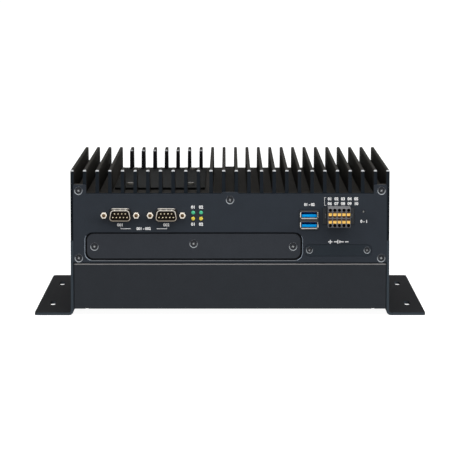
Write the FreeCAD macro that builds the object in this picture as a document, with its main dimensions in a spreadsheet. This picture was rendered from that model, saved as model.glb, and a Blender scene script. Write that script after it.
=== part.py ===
"""Fanless industrial computer with a finned heat sink, on two wall brackets.

The frame is in millimetres with +Z up.  The front, with the serial ports, faces -Y.  The origin is
the centre of the four bracket slots, in the plane that the bracket flanges stand on.
"""
import FreeCAD, Part
import os
import re
import Sketcher

os.makedirs("parts", exist_ok=True)
doc = FreeCAD.newDocument("fanless_industrial_computer")

# ---------------------------------------------------------------------------------------------
# Driving dimensions, by piece.  Every size below is written once here and read from the sheet.
# ---------------------------------------------------------------------------------------------
SIZES = {
    "whole body": {
        "body_width": 247.0,            # over the outer fins
        "body_depth": 235.0,            # over the front and rear panels
        "fit_gap": 0.2,                 # between a piece and the opening that it sits in
        "slip_gap": 0.1,                # round a button that slides
        "thread_gap": 0.1,              # on the diameter, between a screw and its tapped hole
    },
    "heat sink": {
        "base_top": 95.3,               # floor between the fins
        "base_thick": 8.0,
        "fin_height": 17.7,
        "fin_count": 26,
        "fin_tip": 2.5,
        "fin_root": 2.9,
        "fin_tip_radius": 0.8,
        "fin_end_bevel": 1.3,
        "skirt_thick": 2.0,
        "skirt_bottom": 58.6,
        "pad_height": 6.4,              # corner pads that take the panel screws
        "pad_depth": 10.0,
    },
    "milled clearing": {
        "clearing_first_fin": 5,
        "clearing_last_fin": 11,
        "clearing_front": 28.0,         # fin stubs left at the front, from the front face
        "clearing_back": 34.0,          # and at the back
        "hatch_width": 70.5,
        "hatch_left": -90.2,
        "hatch_gap": 0.6,               # from the fin stubs to the hatch, front and back
        "hatch_thick": 1.6,
        "hatch_corner": 3.0,
        "hatch_screw_span_x": 48.0,
        "hatch_screw_front": 25.4,      # from the hatch's front end to the screws
        "hatch_screw_back": 7.9,        # and from its back end
        "window_width": 56.0,
        "window_margin": 7.5,           # from the screws to the window under the hatch
        "window_corner": 5.0,
    },
    "panels": {
        "panel_thick": 2.0,
        "panel_side_gap": 0.1,          # between the panel and the bracket legs beside it
        "panel_top_gap": 0.7,
        "panel_bottom": 41.2,
        "panel_corner": 1.2,
        "tab_width": 11.0,              # raised tab over the middle screw
        "tab_rise": 1.4,
        "tab_slope": 1.6,
        "corner_screw_x": 117.2,
        "corner_screw_rise": 1.8,       # upper corner screws above the fin floor
        "low_screw_z": 44.6,
        "middle_screw_z": 89.9,
    },
    "countersunk screws": {
        "screw_thread": 3.0,
        "screw_pass": 3.4,
        "screw_head": 5.2,
        "dish_size": 6.4,               # mouth of the countersink that the head sits down in
        "head_edge": 0.3,
        "screw_length": 7.0,
        "small_thread": 2.5,
        "small_pass": 2.8,
        "small_head": 4.2,
        "small_dish": 5.2,
    },
    "bay cover": {
        "bay_left": -112.2,
        "bay_right": 56.0,
        "bay_bottom": 43.0,
        "bay_top": 64.5,
        "bay_corner": 5.8,
        "bay_lip": 0.5,                 # bevel round the opening
        "bay_gap": 0.9,                 # between the bevel and the cover
        "bay_recess": 0.25,
        "bay_screw_left": -105.1,
        "bay_screw_middle": -28.2,
        "bay_screw_right": 48.9,
        "bay_screw_z": 53.6,
        "bay_screw_middle_z": 55.8,
    },
    "battery cover": {
        "battery_x": 83.9,
        "battery_z": 50.75,
        "battery_length": 51.8,
        "battery_height": 8.9,
        "battery_corner": 3.6,
        "battery_recess": 0.15,
        "battery_screw_span": 44.6,
    },
    "upper chassis": {
        "chassis_wall": 1.5,
        "chassis_top_gap": 0.2,
        "bay_window_margin": 4.0,
        "bay_window_web": 12.0,
        "battery_window_length": 33.0,
        "battery_window_height": 6.6,
    },
    "lower housing": {
        "seam_z": 40.4,
        "housing_bottom": 5.1,
        "housing_wall": 1.5,
        "housing_rim": 12.0,
        "housing_corner": 1.6,
        "housing_fold": 1.2,
        "relief_x": 111.0,
        "relief_width": 2.4,
        "relief_height": 0.9,
    },
    "wall brackets": {
        "bracket_thick": 2.0,
        "bracket_bend": 3.6,
        "bracket_reach": 28.3,
        "bracket_leg_top": 58.3,
        "bracket_corner": 3.0,
        "slot_out": 17.5,                # middle of the slots from the side of the body
        "slot_spacing": 124.0,
        "slot_width": 4.3,
        "slot_length": 20.0,
        "bracket_screw_z": 24.6,
        "bracket_screw_span": 170.0,
    },
    "serial ports": {
        "serial_left_x": -85.0,
        "serial_right_x": -49.3,
        "serial_z": 78.2,
        "shell_width": 16.9,
        "shell_height": 8.4,
        "shell_taper": 1.5,             # narrower at the top by this much on each side
        "shell_corner": 2.4,
        "shell_wall": 0.5,
        "shell_proud": 6.0,
        "shell_step": 1.0,
        "shell_step_proud": 0.6,
        "flange_width": 30.8,
        "flange_height": 12.5,
        "flange_thick": 1.0,
        "insulator_depth": 5.4,         # from the shell's mouth to the insulator
        "pin_pitch": 2.77,
        "pin_row": 2.84,
        "pin_size": 1.0,
        "pin_proud": 4.8,
        "jack_span": 25.0,
        "jack_hex": 4.8,
        "jack_proud": 5.0,
        "jack_thread": 2.9,
        "jack_bore": 2.6,
        "jack_tail": 1.5,               # of thread behind the flange
        "insulator_tail": 9.0,          # behind the chassis wall, over the board
    },
    "signal lamps": {
        "lamp_left_x": -28.5,
        "lamp_right_x": -22.4,
        "lamp_green_z": 80.1,
        "lamp_yellow_z": 75.4,
        "lamp_size": 3.0,
        "lamp_proud": 0.5,
        "lamp_bevel": 0.3,
        "lamp_length": 6.5,
        "lamp_flange": 3.6,
        "lamp_holder_depth": 5.5,
        "lamp_bore_depth": 5.0,
    },
    "data ports": {
        "data_x": 61.3,
        "data_z": 74.5,
        "data_width": 14.4,
        "data_height": 15.0,
        "data_proud": 0.8,
        "data_depth": 17.5,
        "data_wall": 1.2,
        "data_mouth_height": 4.6,
        "data_mouth_rise": 3.9,         # mouth centres above and below the middle
        "data_mouth_depth": 9.5,
        "tongue_width": 10.8,
        "tongue_thick": 1.9,
        "tongue_drop": 0.95,            # below the middle of its mouth
        "tongue_setback": 1.0,
        "tongue_root": 1.0,
        "data_corner": 0.6,
    },
    "terminal block": {
        "terminal_x": 84.05,
        "terminal_z": 77.6,
        "pole_pitch": 3.5,
        "pole_count": 5,
        "header_width": 24.2,
        "header_height": 12.4,
        "header_proud": 0.6,
        "header_depth": 17.0,
        "header_cavity_width": 18.2,
        "header_cavity_height": 9.6,
        "header_cavity_depth": 11.0,
        "plug_width": 17.2,
        "plug_height": 15.5,
        "plug_proud": 16.0,
        "plug_bevel": 0.9,
        "nose_width": 17.4,
        "nose_height": 8.8,
        "nose_length": 9.5,
        "wire_hole": 2.6,
        "wire_hole_depth": 9.0,
        "wire_hole_rise": 5.9,
        "button_width": 2.6,
        "button_height": 2.9,
        "button_length": 8.0,
        "button_proud": 0.3,
        "button_rise": 2.9,
        "button_travel": 1.5,
        "button_slot_extra": 0.6,       # the slot reaches further in towards the middle
        "latch_height": 3.0,
        "latch_thick": 0.8,
        "latch_proud": 2.2,
        "latch_x": 10.2,
        "latch_seat": 3.0,
    },
    "reset switch": {
        "reset_x": 103.4,
        "reset_z": 80.9,
        "reset_hole": 2.0,
        "reset_tip": 1.3,
        "reset_setback": 0.9,
        "reset_travel": 0.3,
        "reset_body": 6.0,
        "reset_body_depth": 4.0,
        "reset_length": 4.5,
    },
    "main board": {
        "board_top": 66.8,
        "board_thick": 1.6,
        "board_margin": 6.0,
        "standoff_size": 6.0,
        "standoff_inset": 9.0,          # from the edges of the board
        "board_head": 5.6,
        "board_head_height": 1.8,
        "stud_length": 4.0,
        "package_size": 37.0,
        "package_height": 4.2,
        "package_x": 32.0,
        "package_y": 0.0,
        "thermal_pad_thick": 0.6,
        "spreader_size": 48.0,
        "spreader_corner": 4.0,
    },
    "memory": {
        "memory_x": -66.0,
        "memory_y": 6.0,
        "memory_length": 67.6,
        "memory_depth": 30.0,
        "memory_thick": 1.2,
        "memory_lift": 1.6,
        "socket_spine": 5.0,
        "socket_height": 4.2,
        "socket_arm": 3.0,
    },
    "drive": {
        "disk_x": -25.0,
        "disk_front": 12.0,            # behind the chassis front wall
        "disk_length": 100.0,
        "disk_depth": 70.0,
        "disk_thick": 7.0,
        "tray_thick": 1.0,
        "tray_lift": 4.0,
        "tray_margin": 2.0,
        "tray_foot": 6.0,
        "disk_corner": 3.0,
    },
    "clock battery": {
        "cell_size": 20.0,
        "cell_thick": 3.2,
        "holder_width": 24.0,
        "holder_depth": 23.0,
        "holder_floor": 1.2,
    },
    "riser": {
        "riser_x": 92.0,
        "riser_length": 120.0,
        "riser_bottom": 9.6,
        "riser_thick": 1.6,
        "riser_slot_width": 7.5,
        "riser_slot_height": 8.5,
        "riser_slot_depth": 5.5,
        "riser_window": 14.0,
        "riser_slot_ends": 4.0,         # of plastic past each end of the card
    },
    "rear ports": {
        "inlet_x": 88.0,
        "inlet_width": 20.0,
        "inlet_height": 12.0,
        "inlet_proud": 16.0,
        "inlet_pitch": 5.0,
        "inlet_hole": 3.0,
        "inlet_hole_drop": 2.0,         # under the middle of the inlet
        "inlet_hole_depth": 8.0,
        "jack_x": -28.0,
        "jack_width": 16.0,
        "jack_height": 13.6,
        "jack_mouth_width": 11.8,
        "jack_mouth_height": 8.0,
        "jack_mouth_depth": 11.0,
        "video_x": 22.0,
        "video_width": 15.0,
        "video_height": 6.2,
        "video_mouth_depth": 8.0,
        "video_tongue": 0.9,
        "video_slot": 1.6,              # over and under the tongue
        "video_side": 0.8,
        "rear_port_depth": 17.0,
        "rear_port_proud": 0.8,
        "power_x": -84.0,
        "power_z": 76.6,
        "power_size": 10.0,
        "power_proud": 1.8,
        "power_bevel": 0.4,
        "power_travel": 1.2,
        "power_length": 9.0,
        "power_housing": 14.0,
        "power_housing_depth": 12.0,
    },
}

sizes = doc.addObject("Spreadsheet::Sheet", "Sizes")
row = 0
NAMES = []
for group, entries in SIZES.items():
    row += 1
    sizes.set("A%d" % row, group)
    for alias, amount in entries.items():
        row += 1
        sizes.set("A%d" % row, alias.replace("_", " "))
        sizes.set("B%d" % row, str(amount))
        sizes.setAlias("B%d" % row, alias)
        NAMES.append(alias)
doc.recompute()


# ---------------------------------------------------------------------------------------------
# Short words for sketches and features
# ---------------------------------------------------------------------------------------------
def on_sheet(text):
    """Rewrites an expression on plain names as one on the sheet's cells."""
    return re.sub(r"[a-z][a-z0-9_]*", lambda word: "Sizes." + word[0] if word[0] in NAMES else word[0], text)


def value(text):
    """The number that an expression has now."""
    return float(sizes.evalExpression(on_sheet(text)))


def bind(target, prop, text):
    target.setExpression(prop, on_sheet(text))


def new_body(label):
    """One piece made by sketches and features; a group of like pieces may be several solids."""
    body = doc.addObject("PartDesign::Body", label)
    body.Label = label
    body.AllowCompound = True
    return body


def draw(body, plane, place):
    """A sketch across one axis at a place along it: 'x' is seen from the right, 'y' from the front,
    'z' from above."""
    role, sign = {"x": ("YZ_Plane", ""), "y": ("XZ_Plane", "-"), "z": ("XY_Plane", "")}[plane]
    drawing = body.newObject("Sketcher::SketchObject", body.Name + "_sketch")
    support = [item for item in body.Origin.OriginFeatures if item.Role == role][0]
    drawing.AttachmentSupport = [(support, "")]
    drawing.MapMode = "FlatFace"
    bind(drawing, "AttachmentOffset.Base.z", "%s(%s)" % (sign, place))
    return drawing


def hold(drawing, kind, curve, point, text):
    """Holds a point at a distance from the sketch's origin."""
    index = drawing.addConstraint(Sketcher.Constraint(kind, -1, 1, curve, point, value(text)))
    bind(drawing, "Constraints[%d]" % index, text)


def size(drawing, kind, curve, text):
    index = drawing.addConstraint(Sketcher.Constraint(kind, curve, value(text)))
    bind(drawing, "Constraints[%d]" % index, text)


def polygon(drawing, corners):
    """A closed outline with straight sides."""
    first = drawing.GeometryCount
    count = len(corners)
    points = [FreeCAD.Vector(value(across), value(up), 0) for across, up in corners]
    for start, end in zip(points, points[1:] + points[:1]):
        drawing.addGeometry(Part.LineSegment(start, end), False)
    for side in range(count):
        follower = first + (side + 1) % count
        drawing.addConstraint(Sketcher.Constraint("Coincident", first + side, 2, follower, 1))
    for side, (across, up) in enumerate(corners):
        hold(drawing, "DistanceX", first + side, 1, across)
        hold(drawing, "DistanceY", first + side, 1, up)


def rectangle(drawing, left, right, bottom, top):
    """A rectangle held by two opposite corners."""
    first = drawing.GeometryCount
    low = FreeCAD.Vector(value(left), value(bottom), 0)
    high = FreeCAD.Vector(value(right), value(top), 0)
    corners = [low, FreeCAD.Vector(high.x, low.y, 0), high, FreeCAD.Vector(low.x, high.y, 0)]
    for start, end in zip(corners, corners[1:] + corners[:1]):
        drawing.addGeometry(Part.LineSegment(start, end), False)
    for side in range(4):
        drawing.addConstraint(Sketcher.Constraint("Coincident", first + side, 2, first + (side + 1) % 4, 1))
        drawing.addConstraint(Sketcher.Constraint("Vertical" if side % 2 else "Horizontal", first + side))
    hold(drawing, "DistanceX", first, 1, left)
    hold(drawing, "DistanceY", first, 1, bottom)
    hold(drawing, "DistanceX", first + 2, 1, right)
    hold(drawing, "DistanceY", first + 2, 1, top)


def middle_rectangle(drawing, across, up, width, height):
    """A rectangle about its middle."""
    rectangle(drawing, "%s - (%s) / 2" % (across, width), "%s + (%s) / 2" % (across, width),
              "%s - (%s) / 2" % (up, height), "%s + (%s) / 2" % (up, height))


def circle(drawing, across, up, diameter):
    centre = FreeCAD.Vector(value(across), value(up), 0)
    curve = drawing.addGeometry(Part.Circle(centre, FreeCAD.Vector(0, 0, 1), value(diameter) / 2), False)
    hold(drawing, "DistanceX", curve, 3, across)
    hold(drawing, "DistanceY", curve, 3, up)
    size(drawing, "Diameter", curve, diameter)


def hexagon(drawing, across, up, flats):
    """A regular hexagon with a corner at the top, given across its flats."""
    corners = []
    for step in range(6):
        turn = "%d" % (30 + 60 * step)
        corners.append(("%s + (%s) / sqrt(3) * cos(%s)" % (across, flats, turn),
                        "%s + (%s) / sqrt(3) * sin(%s)" % (up, flats, turn)))
    polygon(drawing, corners)


def pad(body, drawing, length, back=False, both=False, taper=None):
    """Raises the sketch along its plane's own normal, which is -Y for a front sketch."""
    feature = body.newObject("PartDesign::Pad", body.Name + "_pad")
    feature.Profile = drawing
    bind(feature, "Length", length)
    feature.Reversed = back
    feature.Midplane = both
    if taper:
        feature.TaperAngle = taper
    return feature


def pocket(body, drawing, length, back=False, both=False, taper=None):
    """Cuts against the plane's normal: into the piece from a front or a top sketch."""
    feature = body.newObject("PartDesign::Pocket", body.Name + "_pocket")
    feature.Profile = drawing
    bind(feature, "Length", length)
    feature.Reversed = back
    feature.Midplane = both
    if taper:
        feature.TaperAngle = taper
    return feature


def edges_through(shape, axis, points):
    """Names of the straight edges along an axis that pass through given points across it."""
    across = [index for index in range(3) if index != "xyz".index(axis)]
    found = []
    for number, edge in enumerate(shape.Edges, 1):
        start, end = edge.Vertexes[0].Point, edge.Vertexes[-1].Point
        run = (end - start).normalize() if (end - start).Length > 1e-6 else FreeCAD.Vector()
        if abs(run["xyz".index(axis)]) < 0.999:
            continue
        here = [start[index] for index in across]
        if any(abs(here[0] - spot[0]) < 0.02 and abs(here[1] - spot[1]) < 0.02 for spot in points):
            found.append("Edge%d" % number)
    return found


def dress(body, kind, names, amount):
    """Rounds or bevels the named edges of the body as it is now."""
    base = body.Tip
    feature = body.newObject("PartDesign::" + kind, body.Name + "_" + kind.lower())
    feature.Base = (base, names)
    bind(feature, "Radius" if kind == "Fillet" else "Size", amount)
    return feature


def round_corners(body, axis, corners, radius):
    """Rounds the edges along an axis at the given places, each a pair of expressions."""
    doc.recompute()
    points = [(value(across), value(up)) for across, up in corners]
    names = edges_through(body.Tip.Shape, axis, points)
    return dress(body, "Fillet", names, radius)


def four_corners(left, right, bottom, top):
    return [(left, bottom), (right, bottom), (right, top), (left, top)]


def about(middle, width):
    """The two ends of a width about its middle."""
    return "%s - (%s) / 2" % (middle, width), "%s + (%s) / 2" % (middle, width)


def block(label, left, right, front, back, bottom, top):
    """A plain box between six places."""
    solid = doc.addObject("Part::Box", label)
    solid.Label = label
    bind(solid, "Length", "(%s) - (%s)" % (right, left))
    bind(solid, "Width", "(%s) - (%s)" % (back, front))
    bind(solid, "Height", "(%s) - (%s)" % (top, bottom))
    bind(solid, "Placement.Base.x", left)
    bind(solid, "Placement.Base.y", front)
    bind(solid, "Placement.Base.z", bottom)
    return solid


def plane_pads(body, axis, outward, place, profiles):
    """Pads that all start in one plane and run inwards; each is (shape, sizes, length, taper)."""
    front = {"x": 1, "y": -1, "z": 1}[axis]
    inward_is_back = outward == front
    for outlines, length, taper in profiles:
        drawing = draw(body, axis, place)
        for kind, numbers in outlines:
            kind(drawing, *numbers)
        pad(body, drawing, length, back=inward_is_back, taper=taper)


def countersunk_screws(body, axis, outward, surface, places, length, small=False):
    """Adds countersunk screws, set down in dishes cut from the surface."""
    thread, head, dish = ("small_thread", "small_head", "small_dish") if small else \
        ("screw_thread", "screw_head", "dish_size")
    sink = "((%s - %s - thread_gap) / 2)" % (dish, head)
    sign = "+" if outward < 0 else "-"
    crown = "%s %s %s" % (surface, sign, sink)
    discs = [(circle, (across, up, head)) for across, up in places]
    shafts = [(circle, (across, up, thread)) for across, up in places]
    cone = "(%s - %s) / 2" % (head, thread)
    plane_pads(body, axis, outward, crown, [(discs, cone, -45), (shafts, length, None)])


def dished_holes(body, axis, outward, surface, places, depth, small=False):
    """Clearance holes with the countersunk dishes that such screws sit in."""
    passage, dish = ("small_pass", "small_dish") if small else ("screw_pass", "dish_size")
    inward_is_back = outward == {"x": 1, "y": -1, "z": 1}[axis]
    for diameter, length, taper in ((passage, depth, None), (dish, "(%s - %s) / 2" % (dish, passage), -45)):
        drawing = draw(body, axis, surface)
        for across, up in places:
            circle(drawing, across, up, diameter)
        pocket(body, drawing, length, back=not inward_is_back, taper=taper)


def drilled(body, axis, outward, surface, places, diameter, depth):
    """Plain round holes from a surface."""
    inward_is_back = outward == {"x": 1, "y": -1, "z": 1}[axis]
    drawing = draw(body, axis, surface)
    for across, up in places:
        circle(drawing, across, up, diameter)
    pocket(body, drawing, depth, back=not inward_is_back)


def window(body, axis, outward, surface, left, right, bottom, top, depth):
    """A rectangular opening cut inwards from a surface."""
    inward_is_back = outward == {"x": 1, "y": -1, "z": 1}[axis]
    drawing = draw(body, axis, surface)
    rectangle(drawing, left, right, bottom, top)
    pocket(body, drawing, depth, back=not inward_is_back)


# Places that several pieces share
HALF = "body_width / 2"
FRONT = "-body_depth / 2"                               # outer face of the front panel
WALL = "-body_depth / 2 + panel_thick"                  # its back, against the chassis
INNER = "-body_depth / 2 + panel_thick + chassis_wall"
BACK = "body_depth / 2"
BACK_WALL = "body_depth / 2 - panel_thick"
BACK_INNER = "body_depth / 2 - panel_thick - chassis_wall"
BASE_UNDER = "base_top - base_thick"
PITCH = "(body_width - fin_tip) / (fin_count - 1)"
TAPPED = "screw_thread + thread_gap"
UPPER_SCREWS = [("-corner_screw_x", "base_top + corner_screw_rise"),
                ("corner_screw_x", "base_top + corner_screw_rise"), ("0", "middle_screw_z")]
LOWER_SCREWS = [("-corner_screw_x", "low_screw_z"), ("corner_screw_x", "low_screw_z")]

# ---------------------------------------------------------------------------------------------
# Heat sink: an extrusion with side skirts and tapered fins, then milled
# ---------------------------------------------------------------------------------------------
heat_sink = new_body("heat_sink")
SINK_LENGTH = "body_depth - 2 * panel_thick"
profile = draw(heat_sink, "y", "0")
polygon(profile, [("-" + HALF, "skirt_bottom"), ("-%s + skirt_thick" % HALF, "skirt_bottom"),
                  ("-%s + skirt_thick" % HALF, BASE_UNDER), ("%s - skirt_thick" % HALF, BASE_UNDER),
                  ("%s - skirt_thick" % HALF, "skirt_bottom"), (HALF, "skirt_bottom"),
                  (HALF, "base_top"), ("-" + HALF, "base_top")])
pad(heat_sink, profile, SINK_LENGTH, both=True)
fin = draw(heat_sink, "y", "0")
FIRST_FIN = "-%s + fin_tip / 2" % HALF
polygon(fin, [(FIRST_FIN + " - fin_root / 2", "base_top"), (FIRST_FIN + " + fin_root / 2", "base_top"),
              (FIRST_FIN + " + fin_tip / 2", "base_top + fin_height"),
              (FIRST_FIN + " - fin_tip / 2", "base_top + fin_height")])
fin_pad = pad(heat_sink, fin, SINK_LENGTH, both=True)
fins = heat_sink.newObject("PartDesign::LinearPattern", "fins")
fins.Originals = [fin_pad]
fins.Direction = ([item for item in heat_sink.Origin.OriginFeatures if item.Role == "X_Axis"][0], [""])
bind(fins, "Length", "body_width - fin_tip")
bind(fins, "Occurrences", "fin_count")
heat_sink.Tip = fins
# the outer fins finish flush with the skirts
for side in ("-", ""):
    flank = draw(heat_sink, "y", "0")
    outer, limit = "%s(%s)" % (side, HALF), "%s(%s + fin_root)" % (side, HALF)
    low, high = (limit, outer) if side else (outer, limit)
    rectangle(flank, low, high, "base_top - 1", "base_top + fin_height + 1")
    pocket(heat_sink, flank, SINK_LENGTH + " + 2", both=True)
doc.recompute()
fin_tops = []
for number in range(int(value("fin_count"))):
    centre = value(FIRST_FIN) + number * value(PITCH)
    for side in (-1, 1):
        fin_tops.append((centre + side * value("fin_tip") / 2, value("base_top + fin_height")))
dress(heat_sink, "Fillet", edges_through(heat_sink.Tip.Shape, "y", fin_tops), "fin_tip_radius")
# corner pads, front and back, between the two outer fins of each side
pads = draw(heat_sink, "z", "base_top")
for left, right in ((FIRST_FIN, FIRST_FIN + " + " + PITCH),
                    ("%s - fin_tip / 2 - %s" % (HALF, PITCH), "%s - fin_tip / 2" % HALF)):
    rectangle(pads, left, right, WALL, WALL + " + pad_depth")
    rectangle(pads, left, right, BACK_WALL + " - pad_depth", BACK_WALL)
pad(heat_sink, pads, "pad_height")
# the clearing milled through fins 5 to 11
clearing = draw(heat_sink, "z", "base_top")
CLEARING_LEFT = FIRST_FIN + " + (clearing_first_fin - 1.5) * " + PITCH
CLEARING_RIGHT = FIRST_FIN + " + (clearing_last_fin - 0.5) * " + PITCH
rectangle(clearing, CLEARING_LEFT, CLEARING_RIGHT, FRONT + " + clearing_front", BACK + " - clearing_back")
pocket(heat_sink, clearing, "fin_height + 1", back=True)
# bevelled fin ends
ends = draw(heat_sink, "x", "0")
TIP_Z = "base_top + fin_height"
for place, sign in ((WALL, "+"), (BACK_WALL, "-")):
    beyond = "%s %s 1" % (place, "-" if sign == "+" else "+")
    polygon(ends, [(beyond, TIP_Z + " - fin_end_bevel - 1"), (beyond, TIP_Z + " + 1"),
                   ("%s %s fin_end_bevel %s 1" % (place, sign, sign), TIP_Z + " + 1")])
pocket(heat_sink, ends, "body_width + 10", both=True)
# window and screw holes under the hatch
HATCH_X = "hatch_left + hatch_width / 2"
HATCH_ENDS = (FRONT + " + clearing_front + hatch_gap", BACK + " - clearing_back - hatch_gap")
SCREW_ENDS = (HATCH_ENDS[0] + " + hatch_screw_front", HATCH_ENDS[1] + " - hatch_screw_back")
WINDOW_ENDS = (SCREW_ENDS[0] + " + window_margin", SCREW_ENDS[1] + " - window_margin")
WINDOW = about(HATCH_X, "window_width") + WINDOW_ENDS
window(heat_sink, "z", 1, "base_top", *WINDOW, "base_thick")
round_corners(heat_sink, "z", four_corners(*WINDOW), "window_corner")
HATCH_SCREWS = [("%s %s hatch_screw_span_x / 2" % (HATCH_X, side), end)
                for side in "-+" for end in SCREW_ENDS]
drilled(heat_sink, "z", 1, "base_top", HATCH_SCREWS, TAPPED, "base_thick - 2")
# tapped holes for both panels and for the board's standoffs
for outward, place in ((-1, WALL), (1, BACK_WALL)):
    drilled(heat_sink, "y", outward, place, UPPER_SCREWS, TAPPED, "screw_length + 1")
CHASSIS_HALF = HALF + " - bracket_thick"
BOARD_HALF_X = CHASSIS_HALF + " - chassis_wall - board_margin"
BOARD_HALF_Y = "body_depth / 2 - panel_thick - chassis_wall - 1"
STANDOFFS = [("%s(%s - standoff_inset)" % (side, BOARD_HALF_X),
              "%s(%s - standoff_inset)" % (end, BOARD_HALF_Y))
             for side in ("-", "") for end in ("-", "")]
drilled(heat_sink, "z", -1, BASE_UNDER, STANDOFFS, TAPPED, "stud_length + 1")

# ---------------------------------------------------------------------------------------------
# Hatch over the memory, in the clearing
# ---------------------------------------------------------------------------------------------
hatch = new_body("hatch_plate")
plate = draw(hatch, "z", "base_top")
HATCH_SIDES = ("hatch_left", "hatch_left + hatch_width")
rectangle(plate, *HATCH_SIDES, *HATCH_ENDS)
pad(hatch, plate, "hatch_thick")
round_corners(hatch, "z", four_corners(*HATCH_SIDES, *HATCH_ENDS), "hatch_corner")
HATCH_TOP = "base_top + hatch_thick"
drilled(hatch, "z", 1, HATCH_TOP, HATCH_SCREWS, "screw_pass", "hatch_thick")
hatch_screws = new_body("hatch_screws")
for diameter, bottom, height in (("board_head", HATCH_TOP, "board_head_height"),
                                 ("screw_thread", HATCH_TOP + " - hatch_thick - base_thick / 2",
                                  "hatch_thick + base_thick / 2")):
    drawing = draw(hatch_screws, "z", bottom)
    for across, up in HATCH_SCREWS:
        circle(drawing, across, up, diameter)
    pad(hatch_screws, drawing, height)

# ---------------------------------------------------------------------------------------------
# Front and rear panels: the same blank, with ears over the corner pads
# ---------------------------------------------------------------------------------------------
PANEL_HALF = HALF + " - bracket_thick - panel_side_gap"
PANEL_TOP = "base_top - panel_top_gap"
EAR_INNER = "%s - %s - fin_tip" % (HALF, PITCH)
EAR_TOP = "base_top + pad_height"
BAY = ("bay_left", "bay_right", "bay_bottom", "bay_top")
BATTERY = about("battery_x", "battery_length") + about("battery_z", "battery_height")
BATTERY_HOLE = (about("battery_x", "battery_length + 2 * fit_gap")
                + about("battery_z", "battery_height + 2 * fit_gap"))


def panel_blank(label, face):
    """A folded-flat panel with its ears and middle tab; face is the plane of its outer side."""
    body = new_body(label)
    drawing = draw(body, "y", face)
    right = [(PANEL_HALF, "panel_bottom"), (PANEL_HALF, EAR_TOP), (EAR_INNER, EAR_TOP),
             (EAR_INNER, PANEL_TOP), ("tab_width / 2 + tab_slope", PANEL_TOP),
             ("tab_width / 2", PANEL_TOP + " + tab_rise")]
    left = [("-(%s)" % across, up) for across, up in reversed(right)]
    polygon(drawing, right + left)
    pad(body, drawing, "panel_thick", back=face == FRONT)
    corners = [(side % across, up) for side in ("%s", "-(%s)") for across, up in right[:3]]
    round_corners(body, "y", corners, "panel_corner")
    return body


def d_outline(drawing, across, grow):
    """A nine-pole connector's outline, wider at the bottom, grown on every side."""
    grow = "(%s)" % grow
    wide = "(shell_width / 2 + %s)" % grow
    narrow = "(shell_width / 2 - shell_taper + %s)" % grow
    low, high = "serial_z - shell_height / 2 - %s" % grow, "serial_z + shell_height / 2 + %s" % grow
    corners = [("%s - %s" % (across, wide), low), ("%s + %s" % (across, wide), low),
               ("%s + %s" % (across, narrow), high), ("%s - %s" % (across, narrow), high)]
    polygon(drawing, corners)
    return corners


front_panel = panel_blank("front_panel", FRONT)
SERIAL = {"left": "serial_left_x", "right": "serial_right_x"}
serial_holes = draw(front_panel, "y", FRONT)
serial_corners = []
for across in SERIAL.values():
    serial_corners += d_outline(serial_holes, across, "(shell_step + fit_gap)")
    for side in "-+":
        circle(serial_holes, "%s %s jack_span / 2" % (across, side), "serial_z", "jack_thread + 2 * fit_gap")
pocket(front_panel, serial_holes, "panel_thick")
round_corners(front_panel, "y", serial_corners, "shell_corner + shell_step")
LAMPS = [("lamp_left_x", "lamp_green_z"), ("lamp_right_x", "lamp_green_z"),
         ("lamp_left_x", "lamp_yellow_z"), ("lamp_right_x", "lamp_yellow_z")]
drilled(front_panel, "y", -1, FRONT, LAMPS, "lamp_size + 2 * fit_gap", "panel_thick")
window(front_panel, "y", -1, FRONT, *about("data_x", "data_width + 2 * fit_gap"),
       *about("data_z", "data_height + 2 * fit_gap"), "panel_thick")
window(front_panel, "y", -1, FRONT, *about("terminal_x", "header_width + 2 * fit_gap"),
       *about("terminal_z", "header_height + 2 * fit_gap"), "panel_thick")
drilled(front_panel, "y", -1, FRONT, [("reset_x", "reset_z")], "reset_hole", "panel_thick")
window(front_panel, "y", -1, FRONT, *BAY, "panel_thick")
round_corners(front_panel, "y", four_corners(*BAY), "bay_corner")
doc.recompute()
rim = [number for number, edge in enumerate(front_panel.Tip.Shape.Edges, 1)
       if abs(edge.BoundBox.YMax - value(FRONT)) < 1e-4 and abs(edge.BoundBox.YMin - value(FRONT)) < 1e-4
       and value("bay_left") - 0.01 < edge.BoundBox.XMin and edge.BoundBox.XMax < value("bay_right") + 0.01
       and value("bay_bottom") - 0.01 < edge.BoundBox.ZMin and edge.BoundBox.ZMax < value("bay_top") + 0.01]
dress(front_panel, "Chamfer", ["Edge%d" % number for number in rim], "bay_lip")
window(front_panel, "y", -1, FRONT, *BATTERY_HOLE, "panel_thick")
round_corners(front_panel, "y", four_corners(*BATTERY_HOLE), "battery_corner")
dished_holes(front_panel, "y", -1, FRONT, UPPER_SCREWS + LOWER_SCREWS, "panel_thick")
panel_screws = new_body("panel_screws")
countersunk_screws(panel_screws, "y", -1, FRONT, UPPER_SCREWS + LOWER_SCREWS, "screw_length")

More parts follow.
